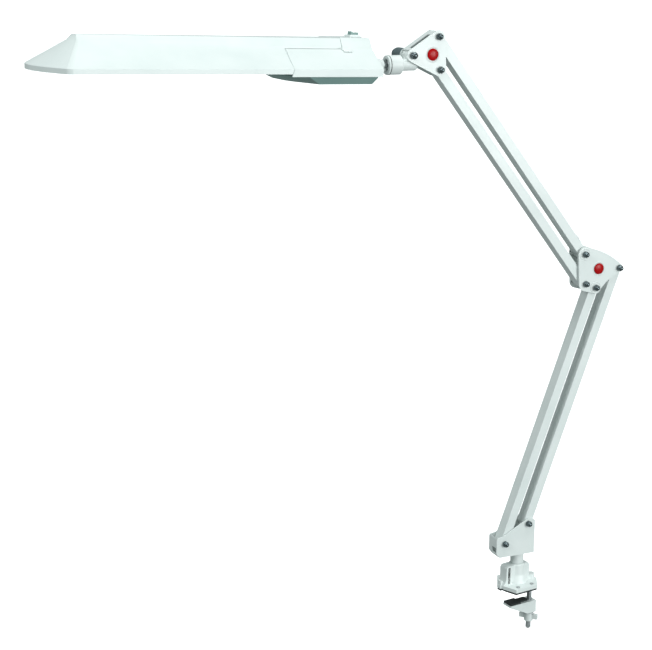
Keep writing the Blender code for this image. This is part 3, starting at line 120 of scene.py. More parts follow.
@dataclass(frozen=True)
class Finish:
    """One finish of the lamp.

    Args:
        slot: the record's material slot.
        colour: main colour, linear.
        shade: second colour that the slow mottling reaches.
        roughness: lowest and highest roughness.
        metallic: 0 or 1.
        grain: kind of close-up texture.
        size: grain features per metre.
        depth: grain depth in metres.
        wear: colour that the edges are rubbed to.
        rub: how much of the edge is rubbed, 0 to 1.
        coat: clear gloss over the finish.
        specular: strength of the plain reflection.
    """

    slot: str
    colour: tuple[float, float, float]
    shade: tuple[float, float, float]
    roughness: tuple[float, float]
    metallic: float = 0.0
    grain: Grain = Grain.SMOOTH
    size: float = 1500.0
    depth: float = 0.00001
    wear: tuple[float, float, float] = (0.7, 0.72, 0.72)
    rub: float = 0.2
    coat: float = 0.0
    specular: float = 0.5

    def material(self) -> bpy.types.Material:
        """Return the finish's material, building it the first time."""
        name = "finish_" + self.slot
        made = bpy.data.materials.get(name)
        return made if made else self._build(name)

    def _noise(
        self, tree: bpy.types.NodeTree, place: bpy.types.NodeSocket, scale: float, detail: float
    ) -> bpy.types.NodeSocket:
        """Add a noise texture.

        Args:
            tree: the material's node tree.
            place: coordinates to read.
            scale: features per metre.
            detail: octaves.

        Returns:
            The noise's factor socket.
        """
        noise = tree.nodes.new("ShaderNodeTexNoise")
        noise.inputs["Scale"].default_value = scale
        noise.inputs["Detail"].default_value = detail
        tree.links.new(place, noise.inputs["Vector"])
        return noise.outputs["Fac"]

    def _build(self, name: str) -> bpy.types.Material:
        """Build the node tree.

        Args:
            name: the material's name.

        Returns:
            The new material.
        """
        material = bpy.data.materials.new(name)
        material.use_nodes = True
        tree = material.node_tree
        link = tree.links.new
        shader = tree.nodes["Principled BSDF"]
        coords = tree.nodes.new("ShaderNodeTexCoord").outputs["Object"]

        slow = self._noise(tree, coords, MOTTLE_SCALE, 3.0)
        tint = tree.nodes.new("ShaderNodeMix")
        tint.data_type = "RGBA"
        tint.inputs["A"].default_value = (*self.colour, 1.0)
        tint.inputs["B"].default_value = (*self.shade, 1.0)
        spread = tree.nodes.new("ShaderNodeMapRange")
        spread.inputs["From Min"].default_value = 0.35
        spread.inputs["From Max"].default_value = 0.7
        link(slow, spread.inputs["Value"])
        link(spread.outputs["Result"], tint.inputs["Factor"])

        rounded = tree.nodes.new("ShaderNodeBevel")
        rounded.samples = 4
        rounded.inputs["Radius"].default_value = EDGE_RADIUS
        facing = tree.nodes.new("ShaderNodeNewGeometry")
        dot = tree.nodes.new("ShaderNodeVectorMath")
        dot.operation = "DOT_PRODUCT"
        link(rounded.outputs["Normal"], dot.inputs[0])
        link(facing.outputs["Normal"], dot.inputs[1])
        edge = tree.nodes.new("ShaderNodeMapRange")
        edge.inputs["From Min"].default_value = EDGE_START
        edge.inputs["From Max"].default_value = EDGE_FULL
        edge.inputs["To Max"].default_value = self.rub
        link(dot.outputs["Value"], edge.inputs["Value"])
        patch = self._noise(tree, coords, WEAR_SCALE, 2.0)
        broken = tree.nodes.new("ShaderNodeMath")
        broken.operation = "MULTIPLY"
        link(edge.outputs["Result"], broken.inputs[0])
        link(patch, broken.inputs[1])
        worn = tree.nodes.new("ShaderNodeMix")
        worn.data_type = "RGBA"
        worn.inputs["B"].default_value = (*self.wear, 1.0)
        link(tint.outputs["Result"], worn.inputs["A"])
        link(broken.outputs["Value"], worn.inputs["Factor"])
        link(worn.outputs["Result"], shader.inputs["Base Color"])

        gloss = tree.nodes.new("ShaderNodeMapRange")
        gloss.inputs["To Min"].default_value = self.roughness[0]
        gloss.inputs["To Max"].default_value = self.roughness[1]
        link(self._noise(tree, coords, GLOSS_SCALE, 4.0), gloss.inputs["Value"])
        link(gloss.outputs["Result"], shader.inputs["Roughness"])
        shader.inputs["Metallic"].default_value = self.metallic
        shader.inputs["Coat Weight"].default_value = self.coat
        shader.inputs["Specular IOR Level"].default_value = self.specular
        shader.inputs["Coat Roughness"].default_value = 0.12

        place = coords
        if self.grain is Grain.DRAWN:
            stretch = tree.nodes.new("ShaderNodeMapping")
            stretch.inputs["Scale"].default_value = (1.0, 8.0, 1.0)
            link(coords, stretch.inputs["Vector"])
            place = stretch.outputs["Vector"]
        if self.grain is Grain.SPARK:
            cells = tree.nodes.new("ShaderNodeTexVoronoi")
            cells.inputs["Scale"].default_value = self.size
            link(place, cells.inputs["Vector"])
            height = cells.outputs["Distance"]
        else:
            height = self._noise(tree, place, self.size, 2.0)
        bump = tree.nodes.new("ShaderNodeBump")
        bump.inputs["Strength"].default_value = 0.5
        bump.inputs["Distance"].default_value = self.depth
        link(height, bump.inputs["Height"])
        link(bump.outputs["Normal"], shader.inputs["Normal"])
        return material


PAINT = Finish(
    "white_paint",
    (0.80, 0.84, 0.83),
    (0.74, 0.79, 0.78),
    (0.30, 0.44),
    grain=Grain.PEEL,
    size=1100.0,
    depth=0.00002,
    coat=0.25,
)
MOULDED = Finish(
    "white_plastic",
    (0.81, 0.85, 0.84),
    (0.75, 0.80, 0.79),
    (0.36, 0.5),
    grain=Grain.SPARK,
    size=2600.0,
    depth=0.000012,
)
SHADE = Finish(
    "shade_plastic",
    (0.79, 0.84, 0.83),
    (0.74, 0.80, 0.79),
    (0.33, 0.46),
    grain=Grain.SPARK,
    size=2200.0,
    depth=0.00001,
    coat=0.1,
)
# Painted shade: this teal grey stands for the shade on the downward-facing bottom cover, which is white
# plastic under even light.
PAINTED_SHADE_GREY = Finish(
    "grey_plastic",
    (0.24, 0.36, 0.34),
    (0.20, 0.32, 0.30),
    (0.42, 0.58),
    grain=Grain.SPARK,
    size=2400.0,
    depth=0.00002,
    wear=(0.42, 0.5, 0.48),
    rub=0.3,
)
DARK = Finish(
    "dark_plastic",
    (0.10, 0.14, 0.15),
    (0.075, 0.11, 0.12),
    (0.3, 0.48),
    grain=Grain.SPARK,
    size=2400.0,
    depth=0.00002,
    wear=(0.24, 0.29, 0.3),
    rub=0.35,
)
RUBBER = Finish(
    "black_rubber",
    (0.014, 0.02, 0.02),
    (0.03, 0.036, 0.036),
    (0.72, 0.92),
    grain=Grain.SPARK,
    size=1800.0,
    depth=0.00004,
    wear=(0.08, 0.09, 0.09),
    rub=0.5,
)
RED = Finish(
    "red_cap",
    (0.46, 0.001, 0.003),
    (0.38, 0.001, 0.002),
    (0.22, 0.32),
    size=900.0,
    depth=0.000002,
    wear=(0.5, 0.01, 0.01),
    specular=0.22,
)
CHROME = Finish(
    "chrome",
    (0.15, 0.18, 0.19),
    (0.11, 0.14, 0.15),
    (0.07, 0.13),
    metallic=1.0,
    size=700.0,
    depth=0.0000006,
    wear=(0.4, 0.4, 0.4),
    rub=0.0,
)
ZINC = Finish(
    "zinc_steel",
    (0.50, 0.53, 0.54),
    (0.42, 0.44, 0.45),
    (0.24, 0.42),
    metallic=1.0,
    grain=Grain.DRAWN,
    size=1600.0,
    depth=0.00001,
    wear=(0.7, 0.7, 0.7),
    rub=0.4,
)
WIRE = Finish(
    "spring_steel",
    (0.36, 0.37, 0.38),
    (0.28, 0.29, 0.3),
    (0.2, 0.34),
    metallic=1.0,
    grain=Grain.DRAWN,
    size=2400.0,
    depth=0.000008,
    wear=(0.6, 0.6, 0.6),
    rub=0.3,
)
REFLECTOR = Finish(
    "reflector_white",
    (0.86, 0.88, 0.87),
    (0.82, 0.84, 0.83),
    (0.18, 0.3),
    grain=Grain.PEEL,
    size=900.0,
    coat=0.3,
)
TUBE = Finish(
    "tube_glass",
    (0.86, 0.89, 0.9),
    (0.82, 0.85, 0.86),
    (0.08, 0.16),
    size=1200.0,
    depth=0.000004,
    coat=0.6,
)
CERAMIC = Finish(
    "lamp_ceramic",
    (0.80, 0.80, 0.76),
    (0.74, 0.74, 0.7),
    (0.42, 0.6),
    grain=Grain.SPARK,
    size=2000.0,
    depth=0.00002,
)

FINISHES = (PAINT, MOULDED, SHADE, PAINTED_SHADE_GREY, DARK, RUBBER, RED, CHROME, ZINC, WIRE, REFLECTOR, TUBE, CERAMIC)
ALL_FINISHES = {item.slot: item for item in FINISHES}


class Frame:
    """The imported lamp: its nodes, bodies, joints and slots."""

    def __init__(self, loaded: dict) -> None:
        self.nodes = loaded["nodes"]
        record = loaded["record"]
        bodies = record["behaviour"]["bodies"]
        self.body = {node: body for body, members in bodies.items() for node in members}
        self.slots = {part["node"]: part["material_slot"] for part in record["subparts"]}
        self.joints = {joint["name"]: joint for joint in loaded["joints"]}

    def pin(self, joint: str) -> Vector:
        """Return the place of a joint."""
        return Vector(self.joints[joint]["pos_m"])

    def middle(self, node: str) -> Vector:
        """Return the middle of a node's box."""
        low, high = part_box(node)
        return (low + high) / 2


class Shop:
    """Turns meshes into pieces that ride on the lamp's bodies."""

    def __init__(self, frame: Frame) -> None:
        """Keep the frame.

        Args:
            frame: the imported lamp.
        """
        self.frame = frame
        self.made = 0

    def piece(
        self,
        name: str,
        mesh: bpy.types.Mesh,
        body: str,
        finish: Finish,
        replaced: Iterable[str] = (),
    ) -> bpy.types.Object:
        """Make a piece of a finished mesh.

        Args:
            name: the piece's name.
            mesh: its mesh, in the lamp's frame.
            body: the body that it rides on.
            finish: its finish.
            replaced: the nodes that it stands for.

        Returns:
            The new piece.
        """
        mesh.materials.clear()
        mesh.materials.append(finish.material())
        item = bpy.data.objects.new(name, mesh)
        bpy.context.scene.collection.objects.link(item)
        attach(item, body)
        nodes = list(replaced)
        if nodes:
            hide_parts(*nodes)
        self.made += 1
        LOG.info("%s: %d faces on %s", name, len(mesh.polygons), body)
        return item

    def settle(self, item: bpy.types.Object) -> bpy.types.Mesh:
        """Apply an object's modifiers and remove it.

        Args:
            item: the object with live modifiers.

        Returns:
            A plain mesh.
        """
        bpy.context.view_layer.update()
        graph = bpy.context.evaluated_depsgraph_get()
        mesh = bpy.data.meshes.new_from_object(item.evaluated_get(graph), depsgraph=graph)
        bpy.data.objects.remove(item, do_unlink=True)
        return mesh

    def soften(
        self, mesh: bpy.types.Mesh, width: float, segments: int = 3, angle: float = 32.0
    ) -> bpy.types.Mesh:
        """Round a mesh's edges and even out its shading.

        Args:
            mesh: a closed mesh.
            width: the rounding's width.
            segments: faces across the rounding.
            angle: the least angle that is rounded, in degrees.

        Returns:
            The rounded mesh.
        """
        item = bpy.data.objects.new("rounding", mesh)
        bpy.context.scene.collection.objects.link(item)
        mesh.shade_smooth()
        if width:
            bevel = item.modifiers.new("Bevel", "BEVEL")
            bevel.width = width
            bevel.segments = segments
            bevel.limit_method = "ANGLE"
            bevel.angle_limit = math.radians(angle)
            bevel.use_clamp_overlap = True
            bevel.miter_outer = "MITER_ARC"
        weigh = item.modifiers.new("Weighted", "WEIGHTED_NORMAL")
        weigh.weight = 80
        return self.settle(item)

    def rounded(self, node: str, width: float, name: str = "", segments: int = 3) -> bpy.types.Object:
        """Make a piece with rounded edges in place of a node.

        Args:
            node: the node to stand for.
            width: the rounding's width.
            name: the piece's name, or the node's in lower case.
            segments: faces across the rounding.

        Returns:
            The new piece.
        """
        mesh = self.frame.nodes[node].data.copy()
        shape = bmesh.new()
        shape.from_mesh(mesh)
        bmesh.ops.remove_doubles(shape, verts=shape.verts, dist=MERGE)
        bmesh.ops.dissolve_limit(
            shape,
            angle_limit=math.radians(0.6),
            verts=shape.verts,
            edges=shape.edges,
            use_dissolve_boundaries=False,
        )
        shape.to_mesh(mesh)
        shape.free()
        mesh = self.soften(mesh, width, segments)
        finish = ALL_FINISHES[self.frame.slots[node]]
        title = name or node.lower() + "_finished"
        return self.piece(title, mesh, self.frame.body[node], finish, [node])


def lathe(profile: Profile, place: Matrix, steps: int = STEPS, closed: bool = False) -> bpy.types.Mesh:
    """Turn a profile about local Z.

    Args:
        profile: (radius, height) points, from the top down the outer side.
        place: where the turned form goes.
        steps: faces round it.
        closed: True for a ring.

    Returns:
        The turned mesh.
    """
    mesh = bpy.data.meshes.new("turned")
    shape = bmesh.new()
    rows: list[list[bmesh.types.BMVert]] = []
    for radius, height in profile:
        if radius < MERGE:
            rows.append([shape.verts.new((0.0, 0.0, height))])
            continue
        row = []
        for i in range(steps):
            angle = 2 * math.pi * i / steps
            row.append(shape.verts.new((radius * math.cos(angle), radius * math.sin(angle), height)))
        rows.append(row)
    pairs = list(zip(rows, rows[1:]))
    if closed:
        pairs.append((rows[-1], rows[0]))
    for upper, lower in pairs:
        for i in range(steps):
            k = (i + 1) % steps
            corners = [
                upper[i % len(upper)],
                lower[i % len(lower)],
                lower[k % len(lower)],
                upper[k % len(upper)],
            ]
            unique = list(dict.fromkeys(corners))
            if len(unique) > 2:
                shape.faces.new(unique)
    bmesh.ops.recalc_face_normals(shape, faces=shape.faces)
    bmesh.ops.transform(shape, matrix=place, verts=shape.verts)
    shape.to_mesh(mesh)
    shape.free()
    return mesh


def joined(meshes: Sequence[bpy.types.Mesh]) -> bpy.types.Mesh:
    """Put several meshes into one.

    Args:
        meshes: the meshes, in one frame.

    Returns:
        One mesh that holds them all.
    """
    whole = bpy.data.meshes.new("joined")
    shape = bmesh.new()
    for mesh in meshes:
        shape.from_mesh(mesh)
    shape.to_mesh(whole)
    shape.free()
    return whole


def along_y(spot: Vector, up: float = -1.0) -> Matrix:
    """Return the matrix that lays a turned form along Y at a pin.

    Args:
        spot: the pin's place.
        up: -1 when the form's top points to the near side.

    Returns:
        The matrix.
    """
    return Matrix.Translation((spot.x, 0.0, spot.z)) @ Matrix.Rotation(-up * math.pi / 2, 4, "X")


@dataclass
class Input:
    """A named input of a node tree."""

    name: str
    kind: str
    value: object


class Tree:
    """A Geometry Nodes tree that is built here and run once."""

    def __init__(self, name: str, inputs: Sequence[Input]) -> None:
        """Start the tree.

        Args:
            name: the tree's name.
            inputs: its named inputs, after the geometry.
        """
        self.group = bpy.data.node_groups.new(name, "GeometryNodeTree")
        face = self.group.interface
        face.new_socket("Geometry", in_out="INPUT", socket_type="NodeSocketGeometry")
        self.names: dict[str, str] = {}
        self.values: dict[str, object] = {}
        for item in inputs:
            socket = face.new_socket(item.name, in_out="INPUT", socket_type="NodeSocket" + item.kind)
            self.names[item.name] = socket.identifier
            self.values[item.name] = item.value
        face.new_socket("Geometry", in_out="OUTPUT", socket_type="NodeSocketGeometry")
        self.start = self.group.nodes.new("NodeGroupInput")
        self.finish = self.group.nodes.new("NodeGroupOutput")

    def node(self, kind: str, **sockets: object) -> bpy.types.Node:
        """Add a node and feed its sockets.

        Args:
            kind: the node's type.
            sockets: a socket's name with spaces as underscores, and its value or source.

        Returns:
            The new node.
        """
        made = self.group.nodes.new(kind)
        for name, value in sockets.items():
            socket = made.inputs[name.replace("_", " ")]
            if isinstance(value, bpy.types.NodeSocket):
                self.group.links.new(value, socket)
            else:
                socket.default_value = value
        return made

    def given(self, name: str) -> bpy.types.NodeSocket:
        """Return a named input's socket inside the tree."""
        return self.start.outputs[name]

    def end(self, geometry: bpy.types.NodeSocket) -> None:
        """Close the tree with Realize Instances and Set Material.

        Args:
            geometry: the last geometry.
        """
        real = self.node("GeometryNodeRealizeInstances", Geometry=geometry)
        dressed = self.node(
            "GeometryNodeSetMaterial", Geometry=real.outputs["Geometry"], Material=self.given("Finish")
        )
        self.group.links.new(dressed.outputs["Geometry"], self.finish.inputs["Geometry"])

    def run(self, shop: Shop, base: bpy.types.Mesh) -> bpy.types.Mesh:
        """Run the tree on a base mesh.

        Args:
            shop: the workshop.
            base: the points that the tree works on.

        Returns:
            The resulting mesh.
        """
        item = bpy.data.objects.new("points", base)
        bpy.context.scene.collection.objects.link(item)
        step = item.modifiers.new("Nodes", "NODES")
        step.node_group = self.group
        for name, identifier in self.names.items():
            step[identifier] = self.values[name]
        return shop.settle(item)


def spots_mesh(spots: Sequence[Vector]) -> bpy.types.Mesh:
    """Return a mesh of loose points."""
    mesh = bpy.data.meshes.new("spots")
    mesh.from_pydata([tuple(spot) for spot in spots], [], [])
    return mesh


def repeated(
    shop: Shop,
    name: str,
    pattern: bpy.types.Mesh,
    spots: Sequence[Vector],
    finish: Finish,
) -> bpy.types.Mesh:
    """Repeat a pattern at several places.

    Args:
        shop: the workshop.
        name: the tree's name.
        pattern: the mesh to repeat, round the origin.
        spots: where it goes.
        finish: its finish.

    Returns:
        One mesh with every copy.
    """
    source = bpy.data.objects.new(name + "_pattern", pattern)
    bpy.context.scene.collection.objects.link(source)
    tree = Tree(
        name,
        [
            Input("Pattern", "Object", source),
            Input("Size", "Float", 1.0),
            Input("Finish", "Material", finish.material()),
        ],
    )
    info = tree.node("GeometryNodeObjectInfo", Object=tree.given("Pattern"))
    points = tree.node("GeometryNodeMeshToPoints", Mesh=tree.given("Geometry"))
    copies = tree.node(
        "GeometryNodeInstanceOnPoints",
        Points=points.outputs["Points"],
        Instance=info.outputs["Geometry"],
        Scale=tree.given("Size"),
    )
    tree.end(copies.outputs["Instances"])
    mesh = tree.run(shop, spots_mesh(spots))
    bpy.data.objects.remove(source, do_unlink=True)
    return mesh


def coil(
    shop: Shop, radius: float, wire: float, length: float, turns: float, finish: Finish
) -> bpy.types.Mesh:
    """Wind a coil along local Z.

    Args:
        shop: the workshop.
        radius: from the axis to the wire's middle.
        wire: the wire's radius.
        length: the coil's length.
        turns: number of turns.
        finish: its finish.

    Returns:
        The coil's mesh.
    """
    tree = Tree(
        "wound_coil",
        [
            Input("Radius", "Float", radius),
            Input("Wire", "Float", wire),
            Input("Length", "Float", length),
            Input("Turns", "Float", turns),
            Input("Finish", "Material", finish.material()),
        ],
    )
    spiral = tree.node(
        "GeometryNodeCurveSpiral",
        Resolution=18,
        Rotations=tree.given("Turns"),
        Start_Radius=tree.given("Radius"),
        End_Radius=tree.given("Radius"),
        Height=tree.given("Length"),
    )
    section = tree.node("GeometryNodeCurvePrimitiveCircle", Resolution=8, Radius=tree.given("Wire"))
    swept = tree.node(
        "GeometryNodeCurveToMesh",
        Curve=spiral.outputs["Curve"],
        Profile_Curve=section.outputs["Curve"],
        Fill_Caps=True,
    )
    tree.end(swept.outputs["Mesh"])
    return tree.run(shop, spots_mesh([Vector((0.0, 0.0, 0.0))]))


def hexagon_nut(across: float, height: float, dome: float) -> bpy.types.Mesh:
    """Make an acorn nut that stands on local Z = 0.

    Args:
        across: from the axis to a corner.
        height: the hexagon's height.
        dome: the dome's height above it.

    Returns:
        The nut's mesh.
    """
    mesh = bpy.data.meshes.new("nut")
    shape = bmesh.new()
    flat = across * math.cos(math.pi / 6)
    rows = []
    for radius, high, round_share in (
        (0.9 * flat, 0.0, 1.0),
        (across, 0.07 * height, 0.0),
        (across, 0.86 * height, 0.0),
        (0.93 * flat, height, 1.0),
    ):
        row = []
        for i in range(36):
            angle = 2 * math.pi * i / 36
            corner = (angle + math.pi / 6) % (math.pi / 3) - math.pi / 6
            edge = flat / math.cos(corner)
            reach = edge * (1 - round_share) + radius * round_share
            row.append(shape.verts.new((reach * math.cos(angle), reach * math.sin(angle), high)))
        rows.append(row)
    for step in range(1, 7):
        lean = math.radians(90.0 * step / 7)
        radius = 0.88 * flat * math.cos(lean * 0.98)
        high = height + dome * math.sin(lean)
        row = []
        for i in range(36):
            angle = 2 * math.pi * i / 36
            row.append(shape.verts.new((radius * math.cos(angle), radius * math.sin(angle), high)))
        rows.append(row)
    for lower, upper in zip(rows, rows[1:]):
        for i in range(36):
            k = (i + 1) % 36
            shape.faces.new((lower[i], lower[k], upper[k], upper[i]))
    shape.faces.new(list(reversed(rows[0])))
    tip = shape.verts.new((0.0, 0.0, height + dome))
    for i in range(36):
        shape.faces.new((rows[-1][i], rows[-1][(i + 1) % 36], tip))
    bmesh.ops.recalc_face_normals(shape, faces=shape.faces)
    shape.to_mesh(mesh)
    shape.free()
    return mesh


@dataclass
class Pivots:
    """Bolts with acorn nuts, and the rings pressed into the sheets round them."""

    shop: Shop
    nut_corner: float = 3.65 * MM
    nut_height: float = 3.2 * MM
    dome: float = 2.9 * MM
    bolt: float = 2.45 * MM
    ring: float = 6.1 * MM
    ring_wire: float = 0.28 * MM
    gap: float = 0.3 * MM

    def bolt_mesh(self, half: float, tail: float = 0.0) -> bpy.types.Mesh:
        """Make a bolt along Y with a nut at the near side.

        Args:
            half: the outside of the sheets.
            tail: the length of a plain far end, or 0 for a head.

        Returns:
            The bolt's mesh round the origin.
        """
        seat = half + self.gap
        near = along_y(Vector((0.0, 0.0, 0.0)))
        nut = hexagon_nut(self.nut_corner, self.nut_height, self.dome)
        nut.transform(near @ Matrix.Translation((0, 0, seat)))
        high = seat + 0.2 * MM
        low = -seat - (tail or 0.2 * MM)
        shank = [(0.0, high), (self.bolt, high), (self.bolt, low), (0.0, low)]
        parts = [nut, lathe(shank, near, 24)]
        if not tail:
            far = along_y(Vector((0.0, 0.0, 0.0)), 1.0)
            head = [
                (0.0, 2.4 * MM),
                (1.3 * MM, 2.4 * MM),
                (1.5 * MM, 3.1 * MM),
                (3.2 * MM, 3.1 * MM),
                (3.65 * MM, 2.6 * MM),
                (3.65 * MM, 0.15 * MM),
                (3.5 * MM, 0.0),
                (0.0, 0.0),
            ]
            parts.append(lathe(head, far @ Matrix.Translation((0, 0, seat)), 32))
        return joined(parts)

    def set_of(self, name: str, nodes: Sequence[str], half: float) -> None:
        """Make the bolts of one body.

        Args:
            name: the piece's name.
            nodes: the pivot nodes, all on one body.
            half: the outside of the sheets.
        """
        frame = self.shop.frame
        spots = [frame.middle(node) for node in nodes]
        spots = [Vector((spot.x, 0.0, spot.z)) for spot in spots]
        mesh = repeated(self.shop, name + "_tree", self.bolt_mesh(half), spots, CHROME)
        mesh = self.shop.soften(mesh, 0.0)
        self.shop.piece(name, mesh, frame.body[nodes[0]], CHROME, nodes)

    def rings(
        self, name: str, spots: Sequence[Vector], half: float, body: str, radius: float = 0.0
    ) -> None:
        """Make the rings pressed out of both sheets round some pins.

        Args:
            name: the piece's name.
            spots: the pins.
            half: the outside of the sheets.
            body: the body that carries the sheets.
            radius: the ring's radius, or 0 for the usual one.
        """
        reach = radius or self.ring
        wire = self.ring_wire
        angles = [2 * math.pi * i / 12 for i in range(12)]
        loop = [(reach + 2.4 * wire * math.cos(a), wire * math.sin(a)) for a in angles]
        middle = Vector((0.0, 0.0, 0.0))
        lift = Matrix.Translation((0, 0, half))
        near = lathe(loop, along_y(middle) @ lift, STEPS, True)
        far = lathe(loop, along_y(middle, 1.0) @ lift, STEPS, True)
        flat = [Vector((spot.x, 0.0, spot.z)) for spot in spots]
        mesh = repeated(self.shop, name + "_tree", joined([near, far]), flat, PAINT)
        self.shop.piece(name, self.shop.soften(mesh, 0.0), body, PAINT)


@dataclass
class Clamp:
    """Foot plate with its column, the jaw, the rod and the wing nut."""

    shop: Shop
    rod_radius: float = 2.85 * MM
    thread_depth: float = 0.28 * MM
    thread_pitch: float = 1.0 * MM

    def build(self) -> None:
        """Build the clamp's pieces."""
        for node, width in (
            ("Clamp_Base", 0.6 * MM),
            ("Clamp_Pad", 0.4 * MM),
            ("Clamp_Foot", 0.4 * MM),
            ("Clamp_Jaw", 0.8 * MM),
            ("Jaw_Pad", 0.4 * MM),
            ("Jaw_Washer", 0.15 * MM),
            ("Wing_Nut", 0.9 * MM),
        ):
            self.shop.rounded(node, width)
        self.rod()
        self.screws()

    def rod(self) -> None:
        """Build the threaded rod, with its thread wound as a coil."""
        frame = self.shop.frame
        low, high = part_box("Clamp_Rod")
        spot = frame.middle("Clamp_Rod")
        core = self.rod_radius - self.thread_depth
        place = Matrix.Translation((spot.x, spot.y, 0.0))
        profile = [
            (0.0, high.z),
            (core, high.z),
            (core, low.z + 1.2 * MM),
            (core - 1.0 * MM, low.z),
            (0.0, low.z),
        ]
        body = lathe(profile, place, 32)
        length = high.z - low.z - 2.4 * MM
        thread = coil(self.shop, core, self.thread_depth, length, length / self.thread_pitch, ZINC)
        thread.transform(Matrix.Translation((spot.x, spot.y, low.z + 1.4 * MM)))
        mesh = self.shop.soften(joined([body, thread]), 0.0)
        self.shop.piece("threaded_rod", mesh, frame.body["Clamp_Rod"], ZINC, ["Clamp_Rod"])

    def screws(self) -> None:
        """Build the two plate screws."""
        frame = self.shop.frame
        nodes = ["Plate_Screw_1", "Plate_Screw_2"]
        spots = []
        for node in nodes:
            middle = frame.middle(node)
            spots.append(Vector((middle.x, middle.y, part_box(node)[1].z)))
        screw = recessed_screw(2.1 * MM, 0.7 * MM, 3.5 * MM)
        mesh = repeated(self.shop, "plate_screws", screw, spots, ZINC)
        self.shop.piece("plate_screws", self.shop.soften(mesh, 0.0), frame.body[nodes[0]], ZINC, nodes)


def recessed_screw(radius: float, head: float, shank: float) -> bpy.types.Mesh:
    """Make a screw whose head has a round recess; its top is at local Z = 0.

    Args:
        radius: the head's radius.
        head: the head's height.
        shank: the shank's length.

    Returns:
        The screw's mesh.
    """
    profile = [
        (0.0, -0.45 * MM),
        (radius * 0.3, -0.45 * MM),
        (radius * 0.42, -0.02 * MM),
        (radius * 0.72, 0.0),
        (radius * 0.93, -head * 0.3),
        (radius, -head * 0.75),
        (radius, -head),
        (radius * 0.62, -head),
        (radius * 0.62, -head - shank + 0.5 * MM),
        (radius * 0.3, -head - shank),
        (0.0, -head - shank),
    ]
    return lathe(profile, Matrix.Identity(4), 30)


@dataclass
class Base:
    """Post, folded bracket and their nut."""

    shop: Shop

    def build(self) -> None:
        """Build the base's pieces."""
        self.shop.rounded("Post", 0.4 * MM)
        self.shop.rounded("Base_Bracket", 0.35 * MM)
        self.shop.rounded("Post_Nut", 0.3 * MM)


@dataclass
class Arms:
    """Four channel bars, their springs and anchors."""

    shop: Shop
    coil_radius: float = 3.05 * MM
    wire: float = 0.6 * MM

    def build(self) -> None:
        """Build the bars, then the springs."""
        for node in ("Lower_Bar_Left", "Lower_Bar_Right", "Upper_Bar_Low", "Upper_Bar_Top"):
            self.shop.rounded(node, 0.45 * MM)
        for node in ("Lower_Anchor", "Upper_Anchor"):
            self.shop.rounded(node, 0.3 * MM)
        self.spring("Lower_Spring", "lower_spring_coil", "lower_lean", "elbow_level")
        self.spring("Upper_Spring", "upper_spring_coil", "upper_lean", "head_level")

    def spring(self, node: str, name: str, first: str, second: str) -> None:
        """Build a coil spring with its pull rod.

        Args:
            node: the spring's node.
            name: the piece's name.
            first: the joint at the bar's lower pin.
            second: the joint at its upper pin.
        """
        frame = self.shop.frame
        run = (frame.pin(second) - frame.pin(first)).normalized()
        low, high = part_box(node)
        middle = (low + high) / 2
        spot = Vector((middle.x, 0.0, middle.z))
        mesh = self.shop.frame.nodes[node].data
        along = [Vector(v.co).dot(run) for v in mesh.vertices]
        start = spot + run * (min(along) - spot.dot(run))
        total = max(along) - min(along)
        place = Matrix.Translation(start) @ run.to_track_quat("Z", "Y").to_matrix().to_4x4()
        length = 118.0 * MM
        wound = coil(self.shop, self.coil_radius, self.wire, length, length / (2.15 * self.wire), WIRE)
        wound.transform(place @ Matrix.Translation((0, 0, 0.7 * MM)))
        rod = lathe(
            [(0.0, total), (0.85 * MM, total - 0.3 * MM), (0.85 * MM, 1.0 * MM), (0.0, 0.6 * MM)],
            place,
            20,
        )
        cup = lathe(
            [
                (0.0, length + 3.4 * MM),
                (1.6 * MM, length + 3.2 * MM),
                (3.3 * MM, length + 1.2 * MM),
                (3.4 * MM, length),
                (0.0, length),
            ],
            place,
            28,
        )
        whole = self.shop.soften(joined([wound, rod, cup]), 0.0)
        self.shop.piece(name, whole, frame.body[node], WIRE, [node])


@dataclass
class Elbow:
    """Elbow plates, caps, spacer and pressed rings."""

    shop: Shop
    pivots: Pivots
    outside: float = ELBOW_OUTSIDE

    def build(self) -> None:
        """Build the elbow's pieces."""
        frame = self.shop.frame
        for node in ("Elbow_Plate_Near", "Elbow_Plate_Far"):
            self.shop.rounded(node, 0.35 * MM)
        self.shop.rounded("Elbow_Spacer", 0.2 * MM)
        for node, up in (("Elbow_Cap_Near", -1.0), ("Elbow_Cap_Far", 1.0)):
            domed_cap(self.shop, node, self.outside, up)
        spots = [frame.pin("upper_lean"), frame.pin("elbow_level")]
        self.pivots.rings("elbow_rings", spots, self.outside, "elbow")
        caps = [frame.middle("Elbow_Cap_Near")]
        self.pivots.rings("elbow_cap_rings", caps, self.outside, "elbow", CAP_RING)


def domed_cap(shop: Shop, node: str, outside: float, up: float) -> None:
    """Build a domed cap with a thin rolled rim.

    Args:
        shop: the workshop.
        node: the cap's node.
        outside: the plate's outer face.
        up: -1 at the near side, 1 at the far side.
    """
    base = outside + 0.3 * MM
    radius = 6.0 * MM
    crown = 1.78 * MM
    profile = [(0.0, base + crown)]
    for i in range(1, 9):
        share = i / 9
        profile.append((radius * 0.9 * share, base + crown * math.sqrt(1 - share**2 * 0.82)))
    profile += [
        (radius * 0.93, base + crown * 0.38),
        (radius * 0.985, base + crown * 0.33),
        (radius, base + crown * 0.2),
        (radius, base + 0.1 * MM),
        (radius * 0.98, base),
        (0.0, base),
    ]
    mesh = lathe(profile, along_y(shop.frame.middle(node), up), 48)
    shop.piece(node.lower() + "_domed", shop.soften(mesh, 0.0), shop.frame.body[node], RED, [node])


